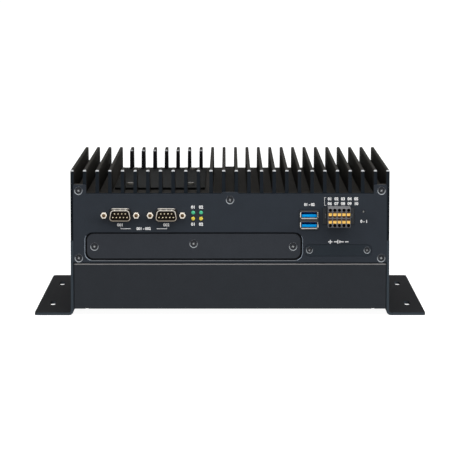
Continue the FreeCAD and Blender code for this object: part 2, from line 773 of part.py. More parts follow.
# ---------------------------------------------------------------------------------------------
# Bay cover and battery cover, each let into the front panel against the chassis
# ---------------------------------------------------------------------------------------------
BAY_INSET = "bay_lip + bay_gap"
COVER = ("bay_left + " + BAY_INSET, "bay_right - (%s)" % BAY_INSET, "bay_bottom + " + BAY_INSET,
         "bay_top - bay_gap")
BAY_FACE = FRONT + " + bay_recess"
bay_cover = new_body("bay_cover")
drawing = draw(bay_cover, "y", BAY_FACE)
rectangle(drawing, *COVER)
pad(bay_cover, drawing, "panel_thick - bay_recess", back=True)
round_corners(bay_cover, "y", four_corners(*COVER), "bay_corner - bay_lip")
BAY_SCREWS = [("bay_screw_left", "bay_screw_z"), ("bay_screw_middle", "bay_screw_middle_z"),
              ("bay_screw_right", "bay_screw_z")]
dished_holes(bay_cover, "y", -1, BAY_FACE, BAY_SCREWS, "panel_thick - bay_recess")
countersunk_screws(new_body("bay_cover_screws"), "y", -1, BAY_FACE, BAY_SCREWS, "screw_length")

BATTERY_FACE = FRONT + " + battery_recess"
battery_cover = new_body("battery_cover")
drawing = draw(battery_cover, "y", BATTERY_FACE)
rectangle(drawing, *BATTERY)
pad(battery_cover, drawing, "panel_thick - battery_recess", back=True)
round_corners(battery_cover, "y", four_corners(*BATTERY), "battery_corner - fit_gap")
BATTERY_SCREWS = [("battery_x %s battery_screw_span / 2" % side, "battery_z") for side in "-+"]
dished_holes(battery_cover, "y", -1, BATTERY_FACE, BATTERY_SCREWS, "panel_thick - battery_recess", small=True)
countersunk_screws(new_body("battery_cover_screws"), "y", -1, BATTERY_FACE, BATTERY_SCREWS, "screw_length",
                   small=True)

# ---------------------------------------------------------------------------------------------
# Upper chassis: a folded tray that carries the panels, open to the heat sink above
# ---------------------------------------------------------------------------------------------
chassis = new_body("upper_chassis")
drawing = draw(chassis, "z", "seam_z")
rectangle(drawing, "-(%s)" % CHASSIS_HALF, CHASSIS_HALF, WALL, BACK_WALL)
pad(chassis, drawing, BASE_UNDER + " - chassis_top_gap - seam_z")
drawing = draw(chassis, "z", BASE_UNDER + " - chassis_top_gap")
rectangle(drawing, "-(%s) + chassis_wall" % CHASSIS_HALF, CHASSIS_HALF + " - chassis_wall", INNER, BACK_INNER)
pocket(chassis, drawing, BASE_UNDER + " - chassis_top_gap - seam_z - chassis_wall")
# front wall: windows behind the ports and the two covers
drawing = draw(chassis, "y", WALL)
for across in SERIAL.values():
    middle_rectangle(drawing, across, "serial_z", "flange_width + 2 * fit_gap", "flange_height + 2 * fit_gap")
rectangle(drawing, "lamp_left_x - lamp_flange", "lamp_right_x + lamp_flange",
          "lamp_yellow_z - lamp_flange", "lamp_green_z + lamp_flange")
middle_rectangle(drawing, "data_x", "data_z", "data_width + 2 * fit_gap", "data_height + 2 * fit_gap")
middle_rectangle(drawing, "terminal_x", "terminal_z", "header_width + 2 * fit_gap",
                 "header_height + 2 * fit_gap")
circle(drawing, "reset_x", "reset_z", "reset_hole + 1")
BAY_WINDOW_LOW, BAY_WINDOW_HIGH = "bay_bottom + bay_window_margin", "bay_top - bay_window_margin"
rectangle(drawing, "bay_screw_left + bay_window_web / 2", "bay_screw_middle - bay_window_web / 2",
          BAY_WINDOW_LOW, BAY_WINDOW_HIGH)
rectangle(drawing, "bay_screw_middle + bay_window_web / 2", "bay_screw_right - bay_window_web / 2",
          BAY_WINDOW_LOW, BAY_WINDOW_HIGH)
middle_rectangle(drawing, "battery_x", "battery_z", "battery_window_length", "battery_window_height")
pocket(chassis, drawing, "chassis_wall")
drilled(chassis, "y", -1, WALL, LOWER_SCREWS + BAY_SCREWS, TAPPED, "chassis_wall")
drilled(chassis, "y", -1, WALL, BATTERY_SCREWS, "small_thread + thread_gap", "chassis_wall")
drilled(chassis, "y", 1, BACK_WALL, LOWER_SCREWS, TAPPED, "chassis_wall")
# floor: the riser's way through
window(chassis, "z", 1, "seam_z + chassis_wall", *about("riser_x", "riser_window"),
       *about("0", "riser_length + 2 * fit_gap"), "chassis_wall")

# ---------------------------------------------------------------------------------------------
# Lower housing: a folded box with an inward rim that the chassis stands on
# ---------------------------------------------------------------------------------------------
housing = new_body("lower_housing")
drawing = draw(housing, "z", "housing_bottom")
rectangle(drawing, "-(%s)" % CHASSIS_HALF, CHASSIS_HALF, FRONT, BACK)
pad(housing, drawing, "seam_z - housing_bottom")
OUTER_CORNERS = four_corners("-(%s)" % CHASSIS_HALF, CHASSIS_HALF, FRONT, BACK)
round_corners(housing, "z", OUTER_CORNERS, "housing_corner")
doc.recompute()
rims = [number for number, edge in enumerate(housing.Tip.Shape.Edges, 1)
        if abs(edge.BoundBox.ZMin - value("seam_z")) < 1e-4]
dress(housing, "Fillet", ["Edge%d" % number for number in rims], "housing_fold")
inside = draw(housing, "z", "housing_bottom + housing_wall")
rectangle(inside, "-(%s) + housing_wall" % CHASSIS_HALF, CHASSIS_HALF + " - housing_wall",
          FRONT + " + housing_wall", BACK + " - housing_wall")
pocket(housing, inside, "seam_z - housing_bottom - 2 * housing_wall", back=True)
mouth = draw(housing, "z", "seam_z")
rectangle(mouth, "-(%s) + housing_rim" % CHASSIS_HALF, CHASSIS_HALF + " - housing_rim",
          FRONT + " + housing_rim", BACK + " - housing_rim")
pocket(housing, mouth, "housing_wall + 0.5")
reliefs = draw(housing, "y", "0")
for side in ("-", ""):
    rectangle(reliefs, "%srelief_x - relief_width / 2" % side, "%srelief_x + relief_width / 2" % side,
              "housing_bottom - 1", "housing_bottom + relief_height")
pocket(housing, reliefs, "body_depth + 2", both=True)

# ---------------------------------------------------------------------------------------------
# Wall brackets: bent plates with two slots each
# ---------------------------------------------------------------------------------------------
SLOT_X = HALF + " + slot_out"
BRACKET_SCREWS = [("-bracket_screw_span / 2", "bracket_screw_z"), ("0", "bracket_screw_z"),
                  ("bracket_screw_span / 2", "bracket_screw_z")]
bracket_screws = new_body("bracket_screws")
for side, label in ((-1, "left_bracket"), (1, "right_bracket")):
    mirror = "-(%s)" if side < 0 else "%s"
    bracket = new_body(label)
    drawing = draw(bracket, "y", "0")
    LEG_INNER = CHASSIS_HALF
    REACH = HALF + " + bracket_reach"
    corners = [(mirror % LEG_INNER, "0"), (mirror % REACH, "0"), (mirror % REACH, "bracket_thick"),
               (mirror % (LEG_INNER + " + bracket_thick"), "bracket_thick"),
               (mirror % (LEG_INNER + " + bracket_thick"), "bracket_leg_top"),
               (mirror % LEG_INNER, "bracket_leg_top")]
    polygon(drawing, corners)
    pad(bracket, drawing, "body_depth", both=True)
    round_corners(bracket, "y", [(mirror % LEG_INNER, "0")], "bracket_bend")
    round_corners(bracket, "y", [corners[3]], "bracket_bend - bracket_thick")
    round_corners(bracket, "z", [(mirror % REACH, FRONT), (mirror % REACH, BACK)], "bracket_corner")
    slots = draw(bracket, "z", "bracket_thick")
    ENDS = [(mirror % SLOT_X, "%s %s (slot_length - slot_width) / 2" % (middle, end))
            for middle in ("-slot_spacing / 2", "slot_spacing / 2") for end in "-+"]
    for middle in ("-slot_spacing / 2", "slot_spacing / 2"):
        middle_rectangle(slots, mirror % SLOT_X, middle, "slot_width", "slot_length - slot_width")
    pocket(bracket, slots, "bracket_thick")
    for parity in (0, 1):
        drilled(bracket, "z", 1, "bracket_thick", ENDS[parity::2], "slot_width", "bracket_thick")
    dished_holes(bracket, "x", side, mirror % HALF, BRACKET_SCREWS, "bracket_thick")
    drilled(housing, "x", side, mirror % CHASSIS_HALF, BRACKET_SCREWS, TAPPED, "housing_wall")
    countersunk_screws(bracket_screws, "x", side, mirror % HALF, BRACKET_SCREWS, "screw_length")

# ---------------------------------------------------------------------------------------------
# Serial ports: drawn shell, insulator, pins and hexagonal jackscrews
# ---------------------------------------------------------------------------------------------
SHELL_MOUTH = FRONT + " - shell_proud"
PLACE_ROWS = [("-2", "-"), ("-1", "-"), ("0", "-"), ("1", "-"), ("2", "-"),
              ("-1.5", "+"), ("-0.5", "+"), ("0.5", "+"), ("1.5", "+")]
jackscrews = new_body("jackscrews")
insulator = new_body("serial_insulators")
pins = new_body("serial_pins")
JACKS = [("%s %s jack_span / 2" % (across, side), "serial_z") for across in SERIAL.values() for side in "-+"]
for name, across in SERIAL.items():
    shell = new_body("serial_shell_" + name)
    drawing = draw(shell, "y", WALL)
    middle_rectangle(drawing, across, "serial_z", "flange_width", "flange_height")
    pad(shell, drawing, "flange_thick", back=True)
    levels = {}
    for grow, proud in (("shell_step", "shell_step_proud"), ("0", "shell_proud")):
        drawing = draw(shell, "y", WALL)
        levels[grow] = d_outline(drawing, across, grow)
        pad(shell, drawing, "panel_thick + " + proud)
    drawing = draw(shell, "y", SHELL_MOUTH)
    mouth = d_outline(drawing, across, "-shell_wall")
    pocket(shell, drawing, "shell_proud + panel_thick + flange_thick")
    round_corners(shell, "y", mouth, "shell_corner - shell_wall")
    for grow, corners in levels.items():
        round_corners(shell, "y", corners, "shell_corner + " + grow)
    drilled(shell, "y", -1, WALL, [place for place in JACKS if place[0].startswith(across)],
            "jack_thread + thread_gap", "flange_thick")
    drawing = draw(insulator, "y", WALL + " + flange_thick")
    corners = d_outline(drawing, across, "-shell_wall - fit_gap / 4")
    pad(insulator, drawing, "shell_proud + panel_thick + flange_thick - insulator_depth")
    round_corners(insulator, "y", corners, "shell_corner - shell_wall")
    drawing = draw(insulator, "y", INNER + " + fit_gap")
    rectangle(drawing, *about(across, "jack_span - jack_hex - 1"), "board_top",
              "serial_z + flange_height / 2")
    pad(insulator, drawing, "insulator_tail", back=True)
    drawing = draw(insulator, "y", WALL + " + flange_thick")
    corners = d_outline(drawing, across, "-shell_wall - fit_gap / 4")
    pad(insulator, drawing, "chassis_wall - flange_thick + fit_gap", back=True)
    PIN_SPOTS = [("%s + %s * pin_pitch" % (across, step), "serial_z %s pin_row / 2" % line)
                 for step, line in PLACE_ROWS]
    drawing = draw(pins, "y", SHELL_MOUTH + " + insulator_depth - pin_proud")
    for across_pin, up in PIN_SPOTS:
        hexagon(drawing, across_pin, up, "pin_size")
    pad(pins, drawing, "pin_proud", back=True)
drawing = draw(jackscrews, "y", FRONT)
for across, up in JACKS:
    hexagon(drawing, across, up, "jack_hex")
pad(jackscrews, drawing, "jack_proud")
drawing = draw(jackscrews, "y", FRONT)
for across, up in JACKS:
    circle(drawing, across, up, "jack_thread")
pad(jackscrews, drawing, "panel_thick + flange_thick + jack_tail", back=True)
drilled(jackscrews, "y", -1, FRONT + " - jack_proud", JACKS, "jack_bore", "jack_proud")

# ---------------------------------------------------------------------------------------------
# Signal lamps in their holder
# ---------------------------------------------------------------------------------------------
for label, spots in (("green_lamps", LAMPS[:2]), ("yellow_lamps", LAMPS[2:])):
    lamps = new_body(label)
    drawing = draw(lamps, "y", FRONT + " - lamp_proud")
    for across, up in spots:
        circle(drawing, across, up, "lamp_size")
    pad(lamps, drawing, "lamp_length", back=True)
    doc.recompute()
    tips = ["Edge%d" % number for number, edge in enumerate(lamps.Tip.Shape.Edges, 1)
            if abs(edge.BoundBox.YMax - value(FRONT + " - lamp_proud")) < 1e-4]
    dress(lamps, "Chamfer", tips, "lamp_bevel")
holder = new_body("lamp_holder")
drawing = draw(holder, "y", WALL + " + fit_gap")
rectangle(drawing, "lamp_left_x - lamp_flange + fit_gap", "lamp_right_x + lamp_flange - fit_gap",
          "board_top", "lamp_green_z + lamp_flange - fit_gap")
pad(holder, drawing, "lamp_holder_depth", back=True)
window(holder, "y", -1, WALL + " + fit_gap", "lamp_left_x - lamp_flange", "lamp_right_x + lamp_flange",
       "board_top - 1", "lamp_yellow_z - lamp_flange + fit_gap", "chassis_wall + fit_gap")
drilled(holder, "y", -1, WALL + " + fit_gap", LAMPS, "lamp_size + thread_gap", "lamp_bore_depth")

# ---------------------------------------------------------------------------------------------
# Data ports: one metal shell round two mouths, with the plastic tongues inside
# ---------------------------------------------------------------------------------------------
DATA_FACE = FRONT + " - data_proud"
data_shell = new_body("data_port_shell")
drawing = draw(data_shell, "y", DATA_FACE)
middle_rectangle(drawing, "data_x", "data_z", "data_width", "data_height")
pad(data_shell, drawing, "data_depth", back=True)
DATA_BOX = about("data_x", "data_width") + about("data_z", "data_height")
round_corners(data_shell, "y", four_corners(*DATA_BOX), "data_corner")
MOUTH_LEVELS = ["data_z %s data_mouth_rise" % side for side in "-+"]
drawing = draw(data_shell, "y", DATA_FACE)
for level in MOUTH_LEVELS:
    middle_rectangle(drawing, "data_x", level, "data_width - 2 * data_wall", "data_mouth_height")
pocket(data_shell, drawing, "data_mouth_depth")
tongues = new_body("data_port_tongues")
drawing = draw(tongues, "y", DATA_FACE + " + data_mouth_depth")
for level in MOUTH_LEVELS:
    middle_rectangle(drawing, "data_x", level, "data_width - 2 * data_wall - 2 * slip_gap",
                     "data_mouth_height - 2 * slip_gap")
pad(tongues, drawing, "tongue_root")
drawing = draw(tongues, "y", DATA_FACE + " + data_mouth_depth - tongue_root")
for level in MOUTH_LEVELS:
    middle_rectangle(drawing, "data_x", level + " - tongue_drop", "tongue_width", "tongue_thick")
pad(tongues, drawing, "data_mouth_depth - tongue_root - tongue_setback")

# ---------------------------------------------------------------------------------------------
# Terminal block: header in the panel, pluggable terminal in front, ten sprung release buttons
# ---------------------------------------------------------------------------------------------
HEADER_FACE = FRONT + " - header_proud"
PLUG_FACE = FRONT + " - plug_proud"
header = new_body("terminal_header")
drawing = draw(header, "y", HEADER_FACE)
middle_rectangle(drawing, "terminal_x", "terminal_z", "header_width", "header_height")
pad(header, drawing, "header_depth", back=True)
drawing = draw(header, "y", HEADER_FACE)
middle_rectangle(drawing, "terminal_x", "terminal_z", "header_cavity_width", "header_cavity_height")
pocket(header, drawing, "header_cavity_depth")
drawing = draw(header, "y", HEADER_FACE)
for side in "-+":
    middle_rectangle(drawing, "terminal_x %s latch_x" % side, "terminal_z", "latch_thick + 2 * slip_gap",
                     "latch_height + 2 * slip_gap")
pocket(header, drawing, "latch_seat")
latches = new_body("header_latches")
drawing = draw(latches, "y", HEADER_FACE + " - latch_proud")
for side in "-+":
    middle_rectangle(drawing, "terminal_x %s latch_x" % side, "terminal_z", "latch_thick", "latch_height")
pad(latches, drawing, "latch_proud + latch_seat", back=True)
plug = new_body("terminal_plug")
drawing = draw(plug, "y", PLUG_FACE)
PLUG_BOX = about("terminal_x", "plug_width") + about("terminal_z", "plug_height")
rectangle(drawing, *PLUG_BOX)
pad(plug, drawing, "plug_proud - header_proud - slip_gap", back=True)
doc.recompute()
rim = ["Edge%d" % number for number, edge in enumerate(plug.Tip.Shape.Edges, 1)
       if edge.BoundBox.YLength < 1e-4 and abs(edge.BoundBox.YMin - value(PLUG_FACE)) < 1e-4
       and edge.BoundBox.ZLength < 1e-4]
dress(plug, "Chamfer", rim, "plug_bevel")
drawing = draw(plug, "y", HEADER_FACE + " - slip_gap")
middle_rectangle(drawing, "terminal_x", "terminal_z", "nose_width", "nose_height")
pad(plug, drawing, "nose_length", back=True)
POLES = ["terminal_x + (%d - (pole_count - 1) / 2) * pole_pitch" % pole
         for pole in range(int(value("pole_count")))]
WIRE_HOLES = [(pole, "terminal_z %s wire_hole_rise" % line) for line in "+-" for pole in POLES]
drilled(plug, "y", -1, PLUG_FACE, WIRE_HOLES, "wire_hole", "wire_hole_depth")
drawing = draw(plug, "y", PLUG_FACE)
for pole in POLES:
    HALF_SLOT = "(button_height / 2 + slip_gap)"
    sides = about(pole, "button_width + 2 * slip_gap")
    rectangle(drawing, *sides, "terminal_z + button_rise - %s - button_slot_extra" % HALF_SLOT,
              "terminal_z + button_rise + " + HALF_SLOT)
    rectangle(drawing, *sides, "terminal_z - button_rise - " + HALF_SLOT,
              "terminal_z - button_rise + %s + button_slot_extra" % HALF_SLOT)
pocket(plug, drawing, "button_length - button_proud + button_travel + slip_gap")
count = 0
for line in "+-":
    for pole in POLES:
        count += 1
        across, up = about(pole, "button_width"), about("terminal_z %s button_rise" % line, "button_height")
        face = PLUG_FACE + " - button_proud"
        button = new_body("release_button_%d" % count)
        drawing = draw(button, "y", face)
        rectangle(drawing, *across, *up)
        pad(button, drawing, "button_length", back=True)

# ---------------------------------------------------------------------------------------------
# Reset switch behind its pin hole
# ---------------------------------------------------------------------------------------------
RESET_TIP = FRONT + " + reset_setback"
RESET_BODY = INNER + " + fit_gap"
reset_switch = new_body("reset_switch")
drawing = draw(reset_switch, "y", RESET_BODY)
rectangle(drawing, *about("reset_x", "reset_body"), "board_top", "reset_z + reset_body / 2")
pad(reset_switch, drawing, "reset_body_depth", back=True)
drilled(reset_switch, "y", -1, RESET_BODY, [("reset_x", "reset_z")], "reset_tip + 2 * slip_gap",
        "%s + reset_length - (%s) + reset_travel + slip_gap" % (RESET_TIP, RESET_BODY))
plunger = new_body("reset_plunger")
drawing = draw(plunger, "y", RESET_TIP)
circle(drawing, "reset_x", "reset_z", "reset_tip")
pad(plunger, drawing, "reset_length", back=True)

# ---------------------------------------------------------------------------------------------
# Main board hung from the heat sink on standoffs, processor and its thermal path
# ---------------------------------------------------------------------------------------------
BOARD_UNDER = "board_top - board_thick"
board = new_body("main_board")
drawing = draw(board, "z", "board_top")
rectangle(drawing, "-(%s)" % BOARD_HALF_X, BOARD_HALF_X, "-(%s)" % BOARD_HALF_Y, BOARD_HALF_Y)
pad(board, drawing, "board_thick", back=True)
drilled(board, "z", 1, "board_top", STANDOFFS, "screw_pass", "board_thick")
standoffs = new_body("board_standoffs")
drawing = draw(standoffs, "z", "board_top")
for across, up in STANDOFFS:
    hexagon(drawing, across, up, "standoff_size")
pad(standoffs, drawing, BASE_UNDER + " - board_top")
drilled(standoffs, "z", -1, "board_top", STANDOFFS, "screw_pass", BASE_UNDER + " - board_top")
board_screws = new_body("board_screws")
drawing = draw(board_screws, "z", BOARD_UNDER)
for across, up in STANDOFFS:
    circle(drawing, across, up, "board_head")
pad(board_screws, drawing, "board_head_height", back=True)
drawing = draw(board_screws, "z", BOARD_UNDER)
for across, up in STANDOFFS:
    circle(drawing, across, up, "screw_thread")
pad(board_screws, drawing, BASE_UNDER + " - (%s) + stud_length" % BOARD_UNDER)
PACKAGE = about("package_x", "package_size") + about("package_y", "package_size")
block("processor", *PACKAGE, "board_top", "board_top + package_height")
PAD_TOP = "board_top + package_height + thermal_pad_thick"
block("thermal_pad", *PACKAGE, "board_top + package_height", PAD_TOP)
spreader = new_body("heat_spreader")
drawing = draw(spreader, "z", PAD_TOP)
SPREADER = about("package_x", "spreader_size") + about("package_y", "spreader_size")
rectangle(drawing, *SPREADER)
pad(spreader, drawing, BASE_UNDER + " - (%s)" % PAD_TOP)
round_corners(spreader, "z", four_corners(*SPREADER), "spreader_corner")

# memory module under the hatch
SOCKET_LEFT = "memory_x - memory_depth / 2 - socket_spine / 2"
socket = new_body("memory_socket")
drawing = draw(socket, "z", "board_top")
HALF_MODULE = "memory_length / 2"
OUTER_ARM = "(%s + socket_arm)" % HALF_MODULE
MODULE_RIGHT = "memory_x + memory_depth / 2"
polygon(drawing, [(SOCKET_LEFT, "memory_y - " + OUTER_ARM), (MODULE_RIGHT, "memory_y - " + OUTER_ARM),
                  (MODULE_RIGHT, "memory_y - %s - fit_gap" % HALF_MODULE),
                  (SOCKET_LEFT + " + socket_spine", "memory_y - %s - fit_gap" % HALF_MODULE),
                  (SOCKET_LEFT + " + socket_spine", "memory_y + %s + fit_gap" % HALF_MODULE),
                  (MODULE_RIGHT, "memory_y + %s + fit_gap" % HALF_MODULE),
                  (MODULE_RIGHT, "memory_y + " + OUTER_ARM), (SOCKET_LEFT, "memory_y + " + OUTER_ARM)])
pad(socket, drawing, "socket_height")
window(socket, "x", 1, SOCKET_LEFT + " + socket_spine",
       "memory_y - %s - fit_gap" % HALF_MODULE, "memory_y + %s + fit_gap" % HALF_MODULE,
       "board_top + memory_lift - slip_gap", "board_top + memory_lift + memory_thick + slip_gap",
       "socket_spine / 2 + slip_gap")
block("memory_module", "memory_x - memory_depth / 2", MODULE_RIGHT, "memory_y - " + HALF_MODULE,
      "memory_y + " + HALF_MODULE, "board_top + memory_lift", "board_top + memory_lift + memory_thick")

# ---------------------------------------------------------------------------------------------
# Drive on its tray, clock battery in its holder, riser for the lower housing
# ---------------------------------------------------------------------------------------------
FLOOR = "seam_z + chassis_wall"
TRAY_TOP = FLOOR + " + tray_lift"
DRIVE_X = about("disk_x", "disk_length")
DRIVE_Y = (INNER + " + disk_front", INNER + " + disk_front + disk_depth")
tray = new_body("drive_tray")
drawing = draw(tray, "x", DRIVE_X[0])
TRAY_FRONT, TRAY_BACK = DRIVE_Y[0] + " - tray_margin", DRIVE_Y[1] + " + tray_margin"
FOOT = "tray_foot"
polygon(drawing, [(TRAY_FRONT + " - " + FOOT, FLOOR), (TRAY_FRONT + " + tray_thick", FLOOR),
                  (TRAY_FRONT + " + tray_thick", TRAY_TOP + " - tray_thick"),
                  (TRAY_BACK + " - tray_thick", TRAY_TOP + " - tray_thick"),
                  (TRAY_BACK + " - tray_thick", FLOOR),
                  (TRAY_BACK + " + " + FOOT, FLOOR), (TRAY_BACK + " + " + FOOT, FLOOR + " + tray_thick"),
                  (TRAY_BACK, FLOOR + " + tray_thick"), (TRAY_BACK, TRAY_TOP), (TRAY_FRONT, TRAY_TOP),
                  (TRAY_FRONT, FLOOR + " + tray_thick"),
                  (TRAY_FRONT + " - " + FOOT, FLOOR + " + tray_thick")])
pad(tray, drawing, "disk_length")
drive = new_body("storage_drive")
drawing = draw(drive, "z", TRAY_TOP)
rectangle(drawing, *DRIVE_X, *DRIVE_Y)
pad(drive, drawing, "disk_thick")
round_corners(drive, "z", four_corners(*DRIVE_X, *DRIVE_Y), "disk_corner")

CELL_UNDER = "battery_z - cell_thick / 2"
CELL_FRONT = INNER + " + 1"
CELL_Y = CELL_FRONT + " + holder_depth / 2"
cell_holder = new_body("cell_holder")
drawing = draw(cell_holder, "z", FLOOR)
rectangle(drawing, *about("battery_x", "holder_width"), CELL_FRONT, CELL_FRONT + " + holder_depth")
pad(cell_holder, drawing, CELL_UNDER + " + cell_thick - (%s)" % FLOOR)
drilled(cell_holder, "z", 1, CELL_UNDER + " + cell_thick", [("battery_x", CELL_Y)],
        "cell_size + 2 * slip_gap", "cell_thick")
cell = doc.addObject("Part::Cylinder", "coin_cell")
cell.Label = "coin_cell"
bind(cell, "Radius", "cell_size / 2")
bind(cell, "Height", "cell_thick")
bind(cell, "Placement.Base.x", "battery_x")
bind(cell, "Placement.Base.y", CELL_Y)
bind(cell, "Placement.Base.z", CELL_UNDER)

RISER_X = about("riser_x", "riser_thick")
RISER_Y = about("0", "riser_length")
RISER_TOP = BOARD_UNDER + " - riser_slot_height + riser_slot_depth"
block("riser_board", *RISER_X, *RISER_Y, "riser_bottom", RISER_TOP)
riser_slot = new_body("riser_slot")
drawing = draw(riser_slot, "z", BOARD_UNDER)
rectangle(drawing, *about("riser_x", "riser_slot_width"), *about("0", "riser_length + 2 * riser_slot_ends"))
pad(riser_slot, drawing, "riser_slot_height", back=True)
window(riser_slot, "z", -1, BOARD_UNDER + " - riser_slot_height",
       *about("riser_x", "riser_thick + 2 * slip_gap"),
       *about("0", "riser_length + 2 * slip_gap"), "riser_slot_depth")

# ---------------------------------------------------------------------------------------------
# Rear panel and its ports
# ---------------------------------------------------------------------------------------------
REAR_FACE = BACK + " + rear_port_proud"
INLET = about("inlet_x", "inlet_width") + ("board_top", "board_top + inlet_height")
VIDEO = about("video_x", "video_width") + ("board_top", "board_top + video_height")
JACK_MIDDLES = ["jack_x %s jack_width / 2" % side for side in "-+"]
NETWORK = about("jack_x", "2 * jack_width") + ("board_top", "board_top + jack_height")
rear_panel = panel_blank("rear_panel", BACK)
for body, face in ((rear_panel, BACK), (chassis, BACK_WALL)):
    thick = "panel_thick" if body is rear_panel else "chassis_wall"
    drawing = draw(body, "y", face)
    for left, right, bottom, top in (INLET, VIDEO, NETWORK):
        rectangle(drawing, left + " - fit_gap", right + " + fit_gap",
                  bottom + " - fit_gap", top + " + fit_gap")
    circle(drawing, "power_x", "power_z", "power_size + 4 * slip_gap")
    pocket(body, drawing, thick, back=True)
dished_holes(rear_panel, "y", 1, BACK, UPPER_SCREWS + LOWER_SCREWS, "panel_thick")
countersunk_screws(panel_screws, "y", 1, BACK, UPPER_SCREWS + LOWER_SCREWS, "screw_length")

inlet = new_body("power_inlet")
drawing = draw(inlet, "y", BACK + " + inlet_proud")
rectangle(drawing, *INLET)
pad(inlet, drawing, "inlet_proud + rear_port_depth")
INLET_Z = "board_top + inlet_height / 2"
drilled(inlet, "y", 1, BACK + " + inlet_proud",
        [("inlet_x + %d * inlet_pitch" % step, INLET_Z + " - inlet_hole_drop") for step in (-1, 0, 1)],
        "inlet_hole", "inlet_hole_depth")
jacks = new_body("network_jacks")
drawing = draw(jacks, "y", REAR_FACE)
rectangle(drawing, *NETWORK)
pad(jacks, drawing, "rear_port_depth")
drawing = draw(jacks, "y", REAR_FACE)
for middle in JACK_MIDDLES:
    middle_rectangle(drawing, middle, "board_top + jack_height / 2", "jack_mouth_width", "jack_mouth_height")
pocket(jacks, drawing, "jack_mouth_depth", back=True)
video = new_body("video_port")
drawing = draw(video, "y", REAR_FACE)
rectangle(drawing, *VIDEO)
pad(video, drawing, "rear_port_depth")
drawing = draw(video, "y", REAR_FACE)
VIDEO_Z = "board_top + video_height / 2"
for line in "-+":
    middle_rectangle(drawing, "video_x", "%s %s (video_tongue + video_slot) / 2" % (VIDEO_Z, line),
                     "video_width - 2 * video_side", "video_slot")
pocket(video, drawing, "video_mouth_depth", back=True)

POWER_TIP = BACK + " + power_proud"
button = new_body("power_button")
drawing = draw(button, "y", POWER_TIP)
circle(drawing, "power_x", "power_z", "power_size")
pad(button, drawing, "power_length")
doc.recompute()
rim = ["Edge%d" % number for number, edge in enumerate(button.Tip.Shape.Edges, 1)
       if abs(edge.BoundBox.YMin - value(POWER_TIP)) < 1e-4]
dress(button, "Chamfer", rim, "power_bevel")
switch = new_body("power_switch")
drawing = draw(switch, "y", BACK_INNER + " - fit_gap")
rectangle(drawing, *about("power_x", "power_housing"), "board_top", "power_z + power_housing / 2")
pad(switch, drawing, "power_housing_depth")
drilled(switch, "y", 1, BACK_INNER + " - fit_gap", [("power_x", "power_z")], "power_size + 2 * slip_gap",
        "power_length - power_proud - panel_thick - chassis_wall + power_travel + slip_gap")

# ---------------------------------------------------------------------------------------------
# Check every feature, then write one file for each piece
# ---------------------------------------------------------------------------------------------
doc.recompute()
faults = [item.Name for item in doc.Objects if "Invalid" in item.State or "Error" in item.State]
for item in doc.Objects:
    if item.TypeId == "PartDesign::Pocket" and item.Name not in faults:
        if item.Shape.isNull() or item.Shape.Volume > item.BaseFeature.Shape.Volume - 1e-6:
            faults.append(item.Name + " cuts nothing")
pieces = [item for item in doc.Objects if item.TypeId in ("PartDesign::Body", "Part::Box", "Part::Cylinder")]
for piece in pieces:
    if piece.Shape.isNull() or not piece.Shape.isValid():
        faults.append(piece.Label + " has no sound shape")
if faults:
    raise RuntimeError("not built: " + ", ".join(faults))
for piece in pieces:
    piece.Shape.exportStep("parts/%s.step" % piece.Label)
print("%d pieces written" % len(pieces))
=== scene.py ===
import bpy
from math import pi, radians, sqrt
from mathutils import Matrix, Vector


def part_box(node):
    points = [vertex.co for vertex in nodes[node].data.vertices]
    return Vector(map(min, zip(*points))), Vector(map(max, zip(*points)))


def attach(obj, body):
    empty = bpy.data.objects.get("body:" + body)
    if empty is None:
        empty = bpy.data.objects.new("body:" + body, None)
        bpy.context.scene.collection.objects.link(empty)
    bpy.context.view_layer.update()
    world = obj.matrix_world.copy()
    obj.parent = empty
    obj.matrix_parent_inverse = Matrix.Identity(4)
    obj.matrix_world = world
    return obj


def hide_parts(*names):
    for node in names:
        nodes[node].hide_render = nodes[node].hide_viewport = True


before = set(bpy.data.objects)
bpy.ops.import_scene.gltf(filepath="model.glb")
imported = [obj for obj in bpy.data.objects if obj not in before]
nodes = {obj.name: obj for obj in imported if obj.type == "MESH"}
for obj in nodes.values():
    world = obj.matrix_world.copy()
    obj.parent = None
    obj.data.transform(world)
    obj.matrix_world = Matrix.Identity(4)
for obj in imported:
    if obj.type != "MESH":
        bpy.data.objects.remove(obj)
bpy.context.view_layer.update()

# --- Camera -------------------------------------------------------------------------------------
# A long lens looks at the front from a little above, so that the fins show their tops and the
# sides stay hidden.  Its distance and height are those that give the fins their slant.
CAMERA_BACK = 2.092         # metres in front of the panel
CAMERA_UP = 0.2942
CAMERA_ASIDE = -0.0018
AIM_UP = 0.0666
SENSOR, LENS = 36.0, 212.7  # millimetres
front_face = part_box("front_panel")[0][1]
lens_spot = Vector((CAMERA_ASIDE, front_face - CAMERA_BACK, CAMERA_UP))
aim = Vector((0.0, front_face, AIM_UP))
bpy.ops.object.camera_add(location=lens_spot)
camera = bpy.context.object
camera.rotation_euler = (aim - lens_spot).to_track_quat("-Z", "Y").to_euler()
camera.data.sensor_width = SENSOR
camera.data.lens = LENS
camera.data.clip_end = 30.0
bpy.context.scene.camera = camera
bpy.context.scene.view_settings.view_transform = "Standard"

